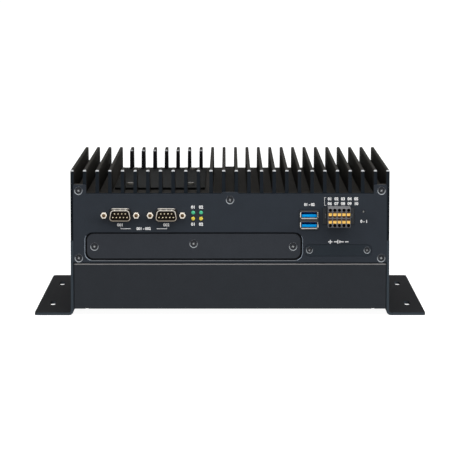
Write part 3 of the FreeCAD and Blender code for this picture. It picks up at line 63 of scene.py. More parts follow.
# --- Floor, white surround and lights -----------------------------------------------------------
# The floor is white and keeps the object's soft shadow.  Above it the surround is white to the
# camera and in gloss, and lights the object more gently, so that the dark paint keeps its depth.
MM = 0.001
WHITE = (1.0, 1.0, 1.0, 1.0)
BELOW_FEET = 0.1 * MM       # keeps the floor out of the plane of the brackets' undersides
FLOOR_TONE = 0.26
FLOOR_GLOW = 0.955          # to the camera and in gloss, where 1 is white
SURROUND_LIGHT = 0.32       # what the surround lends the object
MIDDLE = (0.0, 0.0, 0.06)   # where the lights in front look
bpy.ops.mesh.primitive_plane_add(size=24.0, location=(0.0, 0.0, -BELOW_FEET))
floor = bpy.context.object
floor.name = "floor"


def new_material(name):
    """A node material with its Principled shader; returns the material and that shader."""
    made = bpy.data.materials.new(name)
    made.use_nodes = True
    return made, made.node_tree.nodes["Principled BSDF"]


def math_node(tree, operation, first, second):
    """A math node on two sockets or numbers."""
    node = tree.nodes.new("ShaderNodeMath")
    node.operation = operation
    for place, source in enumerate((first, second)):
        if isinstance(source, (int, float)):
            node.inputs[place].default_value = source
        else:
            tree.links.new(source, node.inputs[place])
    return node.outputs[0]


def seen_directly(tree):
    """One for the camera's own rays and those in gloss or through glass, nought for the rest."""
    path = tree.nodes.new("ShaderNodeLightPath")
    shiny = math_node(tree, "MAXIMUM", path.outputs["Is Glossy Ray"],
                      path.outputs["Is Transmission Ray"])
    return math_node(tree, "MAXIMUM", path.outputs["Is Camera Ray"], shiny)


floor_paint, shader = new_material("white floor")
shader.inputs["Base Color"].default_value = (FLOOR_TONE, FLOOR_TONE, FLOOR_TONE, 1.0)
shader.inputs["Roughness"].default_value = 0.9
shader.inputs["Specular IOR Level"].default_value = 0.1
tree = floor_paint.node_tree
glow = math_node(tree, "MULTIPLY", seen_directly(tree), FLOOR_GLOW)
tree.links.new(glow, shader.inputs["Emission Strength"])
shader.inputs["Emission Color"].default_value = WHITE
floor.data.materials.append(floor_paint)

world = bpy.data.worlds.new("white surround")
bpy.context.scene.world = world
world.use_nodes = True
tree = world.node_tree
background = tree.nodes["Background"]
level = tree.nodes.new("ShaderNodeMapRange")
level.inputs["To Min"].default_value = SURROUND_LIGHT
level.inputs["To Max"].default_value = 1.0
tree.links.new(seen_directly(tree), level.inputs["Value"])
tree.links.new(level.outputs["Result"], background.inputs["Strength"])
background.inputs["Color"].default_value = WHITE


def soft_light(name, spot, target, width, height, power):
    """A rectangular soft box that faces a target."""
    spot = Vector(spot)
    bpy.ops.object.light_add(type="AREA", location=spot)
    lamp = bpy.context.object
    lamp.name = name
    lamp.rotation_euler = (Vector(target) - spot).to_track_quat("-Z", "Y").to_euler()
    lamp.data.shape = "RECTANGLE"
    lamp.data.size = width
    lamp.data.size_y = height
    lamp.data.energy = power


soft_light("key over the front", (0.12, -1.3, 1.6), MIDDLE, 2.6, 0.9, 18.0)
soft_light("overhead soft box", (0.0, -0.25, 1.5), MIDDLE, 1.4, 0.7, 10.0)
soft_light("left strip", (-1.5, -0.9, 0.7), MIDDLE, 0.5, 1.2, 7.0)
soft_light("right strip", (1.5, -0.9, 0.7), MIDDLE, 0.5, 1.2, 14.0)
soft_light("back light", (0.0, 1.7, 1.2), (0.0, 0.0, 0.08), 1.6, 0.6, 7.0)

# --- Shared shader groups -----------------------------------------------------------------------
# Grain gives powder coat and mouldings their fine tooth; Streaks draws long lines along one axis,
# for extruded and brushed metal; Band masks what lies between two levels.  The first two read the
# piece's own Object coordinates.
WIDE_SPOTS = 0.12           # scale of the mottle against that of the fine grain
GLOSS_SHARE = 0.35          # how far the mottle changes the roughness


def shared_group(name, inputs, outputs):
    """An empty shader group with float sockets; returns it with its input and output nodes."""
    group = bpy.data.node_groups.new(name, "ShaderNodeTree")
    for socket in inputs:
        group.interface.new_socket(socket, in_out="INPUT", socket_type="NodeSocketFloat")
    for socket in outputs:
        group.interface.new_socket(socket, in_out="OUTPUT", socket_type="NodeSocketFloat")
    return group, group.nodes.new("NodeGroupInput"), group.nodes.new("NodeGroupOutput")


grain, entry, leave = shared_group("Grain", ("Scale", "Tooth", "Mottle"), ("Height", "Shade"))
spots = grain.nodes.new("ShaderNodeTexCoord")
fine = grain.nodes.new("ShaderNodeTexNoise")
fine.inputs["Detail"].default_value = 3.0
grain.links.new(spots.outputs["Object"], fine.inputs["Vector"])
grain.links.new(entry.outputs["Scale"], fine.inputs["Scale"])
wide = grain.nodes.new("ShaderNodeTexNoise")
wide.inputs["Detail"].default_value = 2.0
grain.links.new(spots.outputs["Object"], wide.inputs["Vector"])
wide_scale = math_node(grain, "MULTIPLY", entry.outputs["Scale"], WIDE_SPOTS)
grain.links.new(wide_scale, wide.inputs["Scale"])
raised = math_node(grain, "MULTIPLY", fine.outputs["Fac"], entry.outputs["Tooth"])
grain.links.new(raised, leave.inputs["Height"])
blend = math_node(grain, "ADD", fine.outputs["Fac"], wide.outputs["Fac"])
centred = math_node(grain, "SUBTRACT", blend, 1.0)
shaded = math_node(grain, "MULTIPLY", centred, entry.outputs["Mottle"])
grain.links.new(shaded, leave.inputs["Shade"])

streaks, entry, leave = shared_group("Streaks", ("Along X", "Along Y", "Along Z", "Depth"),
                                     ("Height", "Shade"))
spots = streaks.nodes.new("ShaderNodeTexCoord")
stretch = streaks.nodes.new("ShaderNodeMapping")
merge = streaks.nodes.new("ShaderNodeCombineXYZ")
for axis in "XYZ":
    streaks.links.new(entry.outputs["Along " + axis], merge.inputs[axis])
streaks.links.new(spots.outputs["Object"], stretch.inputs["Vector"])
streaks.links.new(merge.outputs[0], stretch.inputs["Scale"])
lines = streaks.nodes.new("ShaderNodeTexNoise")
lines.inputs["Scale"].default_value = 1.0
lines.inputs["Detail"].default_value = 4.0
streaks.links.new(stretch.outputs[0], lines.inputs["Vector"])
raised = math_node(streaks, "MULTIPLY", lines.outputs["Fac"], entry.outputs["Depth"])
streaks.links.new(raised, leave.inputs["Height"])
centred = math_node(streaks, "SUBTRACT", lines.outputs["Fac"], 0.5)
streaks.links.new(centred, leave.inputs["Shade"])

band, entry, leave = shared_group("Band", ("Place", "Low", "High"), ("Inside",))
above = math_node(band, "GREATER_THAN", entry.outputs["Place"], entry.outputs["Low"])
below = math_node(band, "LESS_THAN", entry.outputs["Place"], entry.outputs["High"])
band.links.new(math_node(band, "MULTIPLY", above, below), leave.inputs["Inside"])


def placed(tree, group, values):
    """A shared group in a material's tree, with its inputs set."""
    node = tree.nodes.new("ShaderNodeGroup")
    node.node_tree = group
    for name, value in values.items():
        node.inputs[name].default_value = value
    return node


def finish_material(name, colour, roughness, metallic=0.0, specular=0.5, grain_at=900.0,
                    tooth=0.00002, mottle=0.12, drawn=None):
    """A finish with grain in its colour, gloss and surface.

    Drawn adds lines: their scale along X, Y and Z, their depth, and their share of the shade.
    """
    made, shader = new_material(name)
    tree = made.node_tree
    texture = placed(tree, grain, {"Scale": grain_at, "Tooth": tooth, "Mottle": mottle})
    shade, height = texture.outputs["Shade"], texture.outputs["Height"]
    if drawn:
        *scales, depth, share = drawn
        fibres = placed(tree, streaks, {"Depth": depth})
        for axis, scale in zip("XYZ", scales):
            fibres.inputs["Along " + axis].default_value = scale
        height = math_node(tree, "ADD", height, fibres.outputs["Height"])
        shade = math_node(tree, "ADD", shade,
                          math_node(tree, "MULTIPLY", fibres.outputs["Shade"], share))
    tone = tree.nodes.new("ShaderNodeHueSaturation")
    tone.inputs["Color"].default_value = (*colour, 1.0)
    tree.links.new(math_node(tree, "ADD", shade, 1.0), tone.inputs["Value"])
    tree.links.new(tone.outputs[0], shader.inputs["Base Color"])
    rough = math_node(tree, "MULTIPLY_ADD", shade, GLOSS_SHARE)
    rough.node.inputs[2].default_value = roughness
    tree.links.new(rough, shader.inputs["Roughness"])
    bump = tree.nodes.new("ShaderNodeBump")
    bump.inputs["Strength"].default_value = 1.0
    bump.inputs["Distance"].default_value = 1.0
    tree.links.new(height, bump.inputs["Height"])
    tree.links.new(bump.outputs[0], shader.inputs["Normal"])
    shader.inputs["Metallic"].default_value = metallic
    shader.inputs["Specular IOR Level"].default_value = specular
    return made


def paint(made, *names):
    """Puts a finish on CAD nodes."""
    for name in names:
        for place in nodes[name].material_slots:
            place.material = made


def second_colour(made, mask, colour):
    """Mixes another colour over a finish where a mask is one."""
    tree = made.node_tree
    shader = tree.nodes["Principled BSDF"]
    mix = tree.nodes.new("ShaderNodeMix")
    mix.data_type = "RGBA"
    tree.links.new(mask, mix.inputs["Factor"])
    tree.links.new(shader.inputs["Base Color"].links[0].from_socket, mix.inputs[6])
    mix.inputs[7].default_value = (*colour, 1.0)
    tree.links.new(mix.outputs[2], shader.inputs["Base Color"])


def between(made, axis, low, high):
    """A mask that is one between two levels along an axis of the piece."""
    tree = made.node_tree
    spots = tree.nodes.new("ShaderNodeTexCoord")
    split = tree.nodes.new("ShaderNodeSeparateXYZ")
    tree.links.new(spots.outputs["Object"], split.inputs[0])
    limits = placed(tree, band, {"Low": low, "High": high})
    tree.links.new(split.outputs[axis], limits.inputs["Place"])
    return limits.outputs["Inside"]


def facing(made):
    """The three parts of the direction that the surface faces."""
    tree = made.node_tree
    surface = tree.nodes.new("ShaderNodeNewGeometry")
    split = tree.nodes.new("ShaderNodeSeparateXYZ")
    tree.links.new(surface.outputs["True Normal"], split.inputs[0])
    return split.outputs


def over(made, value, level):
    """A mask that is one where a value is above a level."""
    return math_node(made.node_tree, "GREATER_THAN", value, level)


def under(made, value, level):
    """A mask that is one where a value is below a level."""
    return math_node(made.node_tree, "LESS_THAN", value, level)


def size_of(made, value):
    """A value without its sign."""
    return math_node(made.node_tree, "ABSOLUTE", value, 0.0)


def both(made, first, second):
    """A mask that is one where two masks are."""
    return math_node(made.node_tree, "MULTIPLY", first, second)


# --- Lower housing and wall brackets ------------------------------------------------------------
# Folded steel in a dull charcoal powder coat, with a painted highlight along the housing's upper
# fold.
# Its floor is bent up into small tabs that close the reliefs at the foot of its front and back.
# The brackets are bent plates, screwed to the housing's sides.
COAT_MOTTLE = 0.25
SLANT = 0.25                # the least that the fold's painted highlight looks up, and out to the front
BRACKET_FRONT = -0.6        # the least that a bracket's front edge looks forward
TAB_SIZE = (2.3, 3.0, 0.88)
SMOOTH_UNDER = 32.0         # degrees between two faces
TAB_ASIDE, TAB_BEHIND, TAB_UP = 111.0 * MM, 3.5 * MM, 0.45 * MM
rear_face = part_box("rear_panel")[1][1]
housing_paint = finish_material("housing powder coat", (0.0195, 0.0225, 0.0275), 0.62,
                                specular=0.16, mottle=COAT_MOTTLE)
way = facing(housing_paint)
# painted highlight: the fold's faces that look up and to the front are paler
fold = both(housing_paint, over(housing_paint, way["Z"], SLANT),
            over(housing_paint, size_of(housing_paint, way["Y"]), SLANT))
second_colour(housing_paint, fold, (0.20, 0.195, 0.195))
paint(housing_paint, "lower_housing")
bracket_paint = finish_material("bracket powder coat", (0.0115, 0.012, 0.0135), 0.8,
                                specular=0.015)
# painted highlight: the brackets' faces that look to the front are painted lighter
bracket_front_highlight = under(bracket_paint, facing(bracket_paint)["Y"], BRACKET_FRONT)
second_colour(bracket_paint, bracket_front_highlight, (0.046, 0.058, 0.070))
paint(bracket_paint, "left_bracket", "right_bracket")


def alone(piece):
    """Selects one piece and nothing else."""
    bpy.ops.object.select_all(action="DESELECT")
    piece.select_set(True)
    bpy.context.view_layer.objects.active = piece


def flatten(piece):
    """Puts the piece's place and turn into its mesh."""
    alone(piece)
    bpy.ops.object.transform_apply(location=True, rotation=True, scale=True)


def bar(size, spot=(0.0, 0.0, 0.0), soft=0.12):
    """A bar of a size in millimetres, with softened edges."""
    bpy.ops.mesh.primitive_cube_add(size=1.0, location=spot)
    made = bpy.context.object
    made.scale = [length * MM for length in size]
    flatten(made)
    edge = made.modifiers.new("edge", "BEVEL")
    edge.width = soft * MM
    edge.segments = 3
    bpy.ops.object.modifier_apply(modifier=edge.name)
    return made


def merged(parts, name):
    """Joins pieces into one, with its origin at the frame's."""
    alone(parts[0])
    for part in parts[1:]:
        part.select_set(True)
    if len(parts) > 1:
        bpy.ops.object.join()
    parts[0].name = name
    flatten(parts[0])
    return parts[0]


def copies(master, places, name):
    """One piece of many copies of a master, each with its own mesh and each at its own place."""
    made = []
    for place in places:
        copy = master.copy()
        copy.data = master.data.copy()
        bpy.context.collection.objects.link(copy)
        copy.matrix_world = place
        made.append(copy)
    return merged(made, name)


# The turn that makes what faces up face each way.
FACING = {"-Y": Matrix.Rotation(pi / 2, 4, "X"), "+Y": Matrix.Rotation(-pi / 2, 4, "X"),
          "-X": Matrix.Rotation(-pi / 2, 4, "Y"), "+X": Matrix.Rotation(pi / 2, 4, "Y"),
          "+Z": Matrix()}


def repeated(master, spots, name, way="+Z"):
    """One piece of a master's copies at each spot, turned one way; the master is dropped."""
    made = copies(master, [Matrix.Translation(spot) @ FACING[way] for spot in spots], name)
    bpy.data.objects.remove(master)
    return made


def belongs(piece, made, body="computer", stands_for=()):
    """Gives a finished piece its finish, smooth shading and body, and hides what it stands for."""
    if made:
        piece.data.materials.clear()
        piece.data.materials.append(made)
    alone(piece)
    bpy.ops.object.shade_smooth_by_angle(angle=radians(SMOOTH_UNDER))
    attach(piece, body)
    if stands_for:
        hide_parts(*stands_for)


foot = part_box("lower_housing")[0][2]
tab_spots = [(across, along, foot + TAB_UP)
             for across in (-TAB_ASIDE, TAB_ASIDE)
             for along in (front_face + TAB_BEHIND, rear_face - TAB_BEHIND)]
belongs(repeated(bar(TAB_SIZE, soft=0.1), tab_spots, "housing_fold_tabs"), housing_paint)

# --- Chassis, panels and covers -----------------------------------------------------------------
# The chassis is folded sheet, coated black, with a zinc-plated tray for the drive.  The panels and
# covers that close it are sheet in a charcoal powder coat; the bevels round the panel's openings
# carry a painted highlight, except where they look down, brightest where they turn aside.
RIM_LEAST, RIM_MOST = 0.5, 0.9      # how far a bevel with the painted highlight looks to the front
RIM_UNDER, RIM_ASIDE = -0.35, 0.2   # it looks no further down than the first
chassis_paint = finish_material("black chassis coat", (0.009, 0.010, 0.012), 0.7, specular=0.08)
paint(chassis_paint, "upper_chassis")
zinc = finish_material("zinc plate", (0.55, 0.56, 0.57), 0.35, metallic=1.0,
                       drawn=(8.0, 900.0, 900.0, 0.00001, 0.3))
paint(zinc, "drive_tray")
panel_paint = finish_material("charcoal powder coat", (0.0185, 0.0235, 0.0315), 0.6,
                              specular=0.18, mottle=COAT_MOTTLE)
way = facing(panel_paint)
frontward = size_of(panel_paint, way["Y"])
bevel = both(panel_paint, over(panel_paint, frontward, RIM_LEAST),
             under(panel_paint, frontward, RIM_MOST))
rim_highlight = both(panel_paint, bevel, over(panel_paint, way["Z"], RIM_UNDER))
second_colour(panel_paint, rim_highlight, (0.11, 0.12, 0.13))
sideways = over(panel_paint, size_of(panel_paint, way["X"]), RIM_ASIDE)
second_colour(panel_paint, both(panel_paint, rim_highlight, sideways), (0.24, 0.28, 0.33))
paint(panel_paint, "front_panel", "rear_panel")
cover_paint = finish_material("cover powder coat", (0.0245, 0.0280, 0.0350), 0.6,
                              specular=0.18, mottle=COAT_MOTTLE)
paint(cover_paint, "bay_cover")
cell_cover_paint = finish_material("cell cover coat", (0.0125, 0.0180, 0.0245), 0.6,
                                   specular=0.18, mottle=COAT_MOTTLE)
paint(cell_cover_paint, "battery_cover")

# --- Inner pieces -------------------------------------------------------------------------------
# The green board with its processor, pads and sockets hangs from the heat sink; the drive and the
# clock cell stand on the chassis floor, and a riser card reaches down into the lower housing.
SMALL_GRAIN = 2500.0        # for mouldings and screws
PLATE_GRAIN = 1800.0        # for plated and stamped metal
black_plastic = finish_material("black moulding", (0.010, 0.010, 0.011), 0.5, specular=0.25,
                                grain_at=SMALL_GRAIN)
paint(black_plastic, "lamp_holder", "reset_switch", "memory_socket", "cell_holder",
      "riser_slot", "power_switch", "processor")
nickel = finish_material("nickel plate", (0.80, 0.77, 0.70), 0.22, metallic=1.0,
                         grain_at=PLATE_GRAIN, mottle=0.06)
paint(nickel, "board_standoffs", "board_screws", "coin_cell")
drive_metal = finish_material("drive case", (0.45, 0.46, 0.47), 0.4, metallic=1.0,
                              drawn=(6.0, 900.0, 900.0, 0.00001, 0.3))
paint(drive_metal, "storage_drive")
board_green = finish_material("solder resist", (0.01, 0.10, 0.05), 0.3)
paint(board_green, "main_board", "memory_module", "riser_board")
plain_metal = finish_material("milled aluminium", (0.7, 0.71, 0.72), 0.3, metallic=1.0)
paint(plain_metal, "heat_spreader")
soft_pad = finish_material("thermal pad", (0.4, 0.42, 0.46), 0.8)
paint(soft_pad, "thermal_pad")

# --- Heat sink and hatch ------------------------------------------------------------------------
# Black anodised aluminium with fine lines along Y from the extrusion die.  The fins' end bevels
# and the tops of the fin ends in the milled clearing are painted pale, a painted highlight for the
# glint of their bare metal.  The fin ends near the sink's front and back are painted a cooler,
# lighter tone as lit faces, those inside the clearing are painted darker as shade, and the floor
# between the fins is painted lighter for the light that bounces there.  The hatch is as dark, and
# smoother.
END_ZONE = 5.0 * MM         # at the front and back of the sink, where the fins' own ends are
TIP_ZONE = 1.1 * MM
FLOOR_BELOW = 10.0 * MM     # from the tips, under which an upward face is the floor
END_FACE, FLOOR_FACE, BEVEL_SLOPE = 0.6, 0.9, 0.4
anodised = finish_material("black anodised", (0.0175, 0.0165, 0.0145), 0.72, specular=0.01,
                           drawn=(1400.0, 6.0, 1400.0, 0.00002, 0.35))
way = facing(anodised)
sink_low, sink_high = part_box("heat_sink")
inner = between(anodised, "Y", sink_low[1] + END_ZONE, sink_high[1] - END_ZONE)
outer = math_node(anodised.node_tree, "SUBTRACT", 1.0, inner)
frontward = size_of(anodised, way["Y"])
ends = over(anodised, frontward, END_FACE)
milled = both(anodised, ends, inner)
# painted light: fin ends near the sink's front and back are a cooler, lighter tone, as lit faces
second_colour(anodised, both(anodised, ends, outer), (0.0145, 0.0185, 0.0235))
# painted shade: fin ends that look front or back inside the milled clearing are darker
second_colour(anodised, milled, (0.007, 0.007, 0.008))
# painted light: the floor between the fins is lighter, for the light that bounces between them
sink_floor = both(anodised, over(anodised, way["Z"], FLOOR_FACE),
                  between(anodised, "Z", 0.0, sink_high[2] - FLOOR_BELOW))
second_colour(anodised, sink_floor, (0.025, 0.0235, 0.021))
# painted highlight: end bevels and the tops of the clearing's fin ends are painted pale
slope = over(anodised, both(anodised, frontward, way["Z"]), BEVEL_SLOPE)
highlight_faces = math_node(anodised.node_tree, "MAXIMUM", slope, milled)
tips = between(anodised, "Z", sink_high[2] - TIP_ZONE, 1.0)
second_colour(anodised, both(anodised, highlight_faces, tips), (0.45, 0.46, 0.47))
paint(anodised, "heat_sink")
hatch_paint = finish_material("hatch finish", (0.0090, 0.0095, 0.0095), 0.75, specular=0.008)
paint(hatch_paint, "hatch_plate")

# --- Countersunk and pan-head screws ------------------------------------------------------------
# Blackened steel screws with a cross recess.  Those of the panels, covers and brackets are
# countersunk, in dishes whose slope is a pale ring, partly worn paint and partly a painted
# highlight, with painted shade where it looks down; the four dull ones of the hatch have pan
# heads.
LARGE_HEAD, LARGE_THREAD, LARGE_DISH = 5.2 * MM, 3.0 * MM, 6.4 * MM
SMALL_HEAD, SMALL_THREAD, SMALL_DISH = 4.2 * MM, 2.5 * MM, 5.2 * MM
PAN_HEAD, PAN_THREAD, PAN_TALL = 5.6 * MM, 3.0 * MM, 1.8 * MM
SCREW_LONG, PAN_LONG = 6.4 * MM, 5.5 * MM
FLAT_ROUNDING, PAN_ROUNDING = 0.14 * MM, 0.75 * MM
LARGE_SINK, SMALL_SINK = 0.55 * MM, 0.45 * MM   # from a dish's mouth to the head
WING_LONG, WING_WIDE, WING_DEEP = 0.46, 0.13, 1.5 * MM      # the first two against the head
RECESS_REACH, RECESS_LOW, RECESS_HIGH = 0.24, -0.9 * MM, -0.04 * MM
RIM_LAP, RIM_WALL = 0.02 * MM, 0.05 * MM
FIRST_TURN, NEXT_TURN = 23.0, 41.0              # degrees, so that no two recesses line up
LOOKS_UNDER = -0.22
black_steel = finish_material("blackened steel", (0.022, 0.024, 0.028), 0.5, metallic=0.2,
                              specular=0.2, grain_at=SMALL_GRAIN)
recess_steel = finish_material("worn recess", (0.52, 0.53, 0.54), 0.4, metallic=0.7,
                               grain_at=SMALL_GRAIN)
dull_steel = finish_material("dull hatch screw", (0.075, 0.072, 0.065), 0.5, metallic=0.2,
                             specular=0.1, grain_at=SMALL_GRAIN)
dish_highlight = finish_material("dish rim highlight", (0.29, 0.31, 0.33), 0.5, metallic=0.1,
                            specular=0.2, grain_at=SMALL_GRAIN)
# painted shade: the part of the ring that looks down is darker
second_colour(dish_highlight, under(dish_highlight, facing(dish_highlight)["Z"], LOOKS_UNDER),
              (0.055, 0.06, 0.07))


def pick(piece, way, least=0.99):
    """Selects, in edit mode, the faces that look one way, or both ways of a bare axis."""
    alone(piece)
    bpy.ops.object.mode_set(mode="EDIT")
    bpy.ops.mesh.select_mode(type="FACE")
    bpy.ops.mesh.select_all(action="DESELECT")
    bpy.ops.object.mode_set(mode="OBJECT")
    for face in piece.data.polygons:
        reach = face.normal["XYZ".index(way[-1])]
        if way[0] == "-":
            reach = -reach
        elif way[0] != "+":
            reach = abs(reach)
        face.select = reach > least
    bpy.ops.object.mode_set(mode="EDIT")


def rounded(piece, way, width, segments):
    """Rounds the edges of the faces that look one way."""
    pick(piece, way)
    bpy.ops.mesh.bevel(offset=width, segments=segments, affect="EDGES")
    bpy.ops.object.mode_set(mode="OBJECT")


def sunk(piece, way, *steps):
    """Sinks the faces that look one way, by the border and depth of each step."""
    pick(piece, way)
    for border, depth in steps:
        bpy.ops.mesh.inset(thickness=border, depth=-depth)
    bpy.ops.object.mode_set(mode="OBJECT")


def resized(piece, way, scale, least=0.99):
    """Resizes the faces that look one way."""
    pick(piece, way, least)
    bpy.ops.transform.resize(value=scale)
    bpy.ops.object.mode_set(mode="OBJECT")


def rod(radius, depth, vertices, top=0.0):
    """A cylinder that hangs down from a level."""
    bpy.ops.mesh.primitive_cylinder_add(vertices=vertices, radius=radius, depth=depth,
                                        location=(0, 0, top - depth / 2))
    made = bpy.context.object
    flatten(made)
    return made


def cut_away(piece, cutter):
    """Takes one shape out of another, and drops the cutter."""
    alone(piece)
    cut = piece.modifiers.new("cut", "BOOLEAN")
    cut.operation = "DIFFERENCE"
    cut.solver = "EXACT"
    cut.object = cutter
    bpy.ops.object.modifier_apply(modifier=cut.name)
    bpy.data.objects.remove(cutter)


def solids_of(name):
    """Lowest and highest corner of each separate solid of a CAD node, sorted by place."""
    mesh = nodes[name].data
    keys = [tuple(round(value, 6) for value in vertex.co) for vertex in mesh.vertices]
    home = {key: key for key in keys}

    def root(key):
        while home[key] != key:
            home[key] = home[home[key]]
            key = home[key]
        return key

    for face in mesh.polygons:
        first = root(keys[face.vertices[0]])
        for vertex in face.vertices[1:]:
            home[root(keys[vertex])] = first
    groups = {}
    for key in home:
        groups.setdefault(root(key), []).append(key)
    found = [(Vector(map(min, zip(*group))), Vector(map(max, zip(*group))))
             for group in groups.values()]
    return sorted(found, key=lambda box: tuple(round(value, 4) for value in box[0]))


def two_finishes(piece, main, inner, reach, low, high):
    """One finish on a piece, and another on the faces near its axis between two levels."""
    piece.data.materials.clear()
    piece.data.materials.append(main)
    piece.data.materials.append(inner)
    for face in piece.data.polygons:
        near = sqrt(face.center.x ** 2 + face.center.y ** 2) < reach
        if near and low < face.center.z < high:
            face.material_index = 1


def screw_master(head, thread, length, main, recess, countersunk=True):
    """A screw with its head up and its crown at nought: a cone under a flat head, or a pan."""
    tall = (head - thread) / 2 if countersunk else PAN_TALL
    narrow = thread / 2 if countersunk else head / 2
    bpy.ops.mesh.primitive_cone_add(vertices=40, radius1=narrow, radius2=head / 2, depth=tall,
                                    location=(0, 0, -tall / 2))
    screw = bpy.context.object
    rounded(screw, "+Z", FLAT_ROUNDING if countersunk else PAN_ROUNDING, 4)
    for turn in (0.0, pi / 2):
        bpy.ops.mesh.primitive_cube_add(size=1.0, location=(0, 0, 0), rotation=(0, 0, turn))
        wing = bpy.context.object
        wing.scale = (head * WING_LONG, head * WING_WIDE, WING_DEEP)
        flatten(wing)
        resized(wing, "-Z", (0.45, 0.7, 1.0))
        cut_away(screw, wing)
    shank = rod(thread / 2, length, 24, top=0.05 * MM - tall)
    screw = merged([screw, shank], "screw master")
    two_finishes(screw, main, recess, head * RECESS_REACH, RECESS_LOW, RECESS_HIGH)
    return screw


def dish_rim(mouth, head):
    """A thin ring on a countersink's slope for its painted highlight, from the mouth at nought to
    the head.
    """
    drop = (mouth - head) / 2
    bpy.ops.mesh.primitive_cone_add(vertices=48, radius1=head / 2 + RIM_LAP,
                                    radius2=mouth / 2 + RIM_LAP, depth=drop,
                                    end_fill_type="NOTHING", location=(0, 0, -drop / 2))
    ring = bpy.context.object
    flatten(ring)
    wall = ring.modifiers.new("wall", "SOLIDIFY")
    wall.thickness = RIM_WALL
    wall.offset = -1.0
    bpy.ops.object.modifier_apply(modifier=wall.name)
    return ring


def crowns(name, sides):
    """Where each screw of a node has its crown, and the way it faces."""
    axis = "XYZ".index(sides[-1])
    found = []
    for low, high in solids_of(name):
        spot = (low + high) / 2
        way = sides if sides[0] in "+-" else ("-" if spot[axis] < 0 else "+") + sides
        spot[axis] = high[axis] if way[0] == "+" else low[axis]
        found.append((spot, way))
    return found


def fit_screws(name, sides, master, rim=None, sink=0.0):
    """Puts a master at every screw of a node, each turned its own way, with a rim at each dish."""
    places, rims = [], []
    for count, (spot, way) in enumerate(crowns(name, sides)):
        seat = Matrix.Translation(spot) @ FACING[way]
        turn = radians(FIRST_TURN + NEXT_TURN * count)
        places.append(seat @ Matrix.Rotation(turn, 4, "Z"))
        rims.append(seat @ Matrix.Translation((0, 0, sink)))
    belongs(copies(master, places, name + "_turned"), None, stands_for=(name,))
    if rim:
        belongs(copies(rim, rims, name + "_dish_rims"), dish_highlight)


large = screw_master(LARGE_HEAD, LARGE_THREAD, SCREW_LONG, black_steel, recess_steel)
small = screw_master(SMALL_HEAD, SMALL_THREAD, SCREW_LONG, black_steel, recess_steel)
pan = screw_master(PAN_HEAD, PAN_THREAD, PAN_LONG, dull_steel, black_steel, countersunk=False)
large_rim = dish_rim(LARGE_DISH, LARGE_HEAD)
small_rim = dish_rim(SMALL_DISH, SMALL_HEAD)
fit_screws("panel_screws", "Y", large, large_rim, LARGE_SINK)
fit_screws("bay_cover_screws", "-Y", large, large_rim, LARGE_SINK)
fit_screws("battery_cover_screws", "-Y", small, small_rim, SMALL_SINK)
fit_screws("bracket_screws", "X", large, large_rim, LARGE_SINK)
fit_screws("hatch_screws", "+Z", pan)
for master in (large, small, pan, large_rim, small_rim):
    bpy.data.objects.remove(master)

# --- Serial ports -------------------------------------------------------------------------------
# Two nine-pole plugs in drawn, nickel-plated shells with dimples that grip the cable's connector.
# The insulator is black, the pins are pale gold with rounded tips, and a hexagonal jackscrew with
# a threaded bore stands at each side.
PALE_FROM, DARK_UNDER, TOP_EDGE = 0.6 * MM, 3.4 * MM, 4.65 * MM   # from the shell's middle
MOUTH_EDGE, STEP_BEFORE, STEP_BEHIND = 0.3 * MM, 0.9 * MM, 5.0 * MM
PIN_RADIUS, PIN_ROUNDING = 0.5 * MM, 0.38 * MM
DIMPLE_RADIUS, DIMPLE_SHARE, DIMPLE_BEHIND = 0.75 * MM, 0.4, 3.2 * MM
DIMPLE_REACH = 4.2 * MM     # from a shell's middle, upwards and aside
JACK_FLATS, JACK_ROUNDING, STUD_RADIUS = 4.8 * MM, 0.6 * MM, 1.45 * MM
BORE_MOUTH, BORE_END, BORE_DEEP = 1.4 * MM, 1.05 * MM, 4.4 * MM
BORE_SPARE, BORE_NEAR = 0.1 * MM, 0.02 * MM     # what the cut and its finish take beyond it
THREAD_RADIUS, THREAD_THICK = 1.16 * MM, 0.11 * MM
THREAD_FIRST, THREAD_PITCH, THREAD_TURNS = 0.7 * MM, 0.5 * MM, 6
jack_metal = finish_material("jackscrew plate", (0.62, 0.57, 0.50), 0.25, metallic=1.0,
                             grain_at=PLATE_GRAIN, mottle=0.1)
shell_metal = finish_material("drawn nickel shell", (0.50, 0.44, 0.37), 0.3, metallic=1.0,
                              grain_at=PLATE_GRAIN, mottle=0.06)


def extent(name):
    """Lowest corner, highest corner and middle of a CAD node."""
    low, high = (Vector(corner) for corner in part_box(name))
    return low, high, (low + high) / 2


def front_spots(name):
    """The middle of the front of each separate solid of a CAD node."""
    return [Vector(((low.x + high.x) / 2, low.y, (low.z + high.z) / 2))
            for low, high in solids_of(name)]


# the shell, with painted light: a painted highlight above and on the top edge of the step, painted
# shade below, and darker painted shade inside its mouth and on the step behind it
shell_low, _, shell_middle = extent("serial_shell_left")
upper_half = between(shell_metal, "Z", shell_middle.z + PALE_FROM, 1.0)
second_colour(shell_metal, upper_half, (0.62, 0.58, 0.52))
under_edge = between(shell_metal, "Z", 0.0, shell_middle.z - DARK_UNDER)
second_colour(shell_metal, under_edge, (0.30, 0.26, 0.21))
step_y = front_face - STEP_BEFORE
walls = between(shell_metal, "Y", shell_low.y + MOUTH_EDGE, step_y)
second_colour(shell_metal, walls, (0.11, 0.09, 0.07))
step_face = between(shell_metal, "Y", step_y, front_face + STEP_BEHIND)
second_colour(shell_metal, step_face, (0.028, 0.026, 0.025))
top_edge = both(shell_metal, step_face,
                between(shell_metal, "Z", shell_middle.z + TOP_EDGE, 1.0))
second_colour(shell_metal, top_edge, (0.88, 0.84, 0.78))
paint(shell_metal, "serial_shell_left", "serial_shell_right")
insulator_plastic = finish_material("brown-black moulding", (0.030, 0.021, 0.016), 0.55,
                                    specular=0.15, grain_at=SMALL_GRAIN)
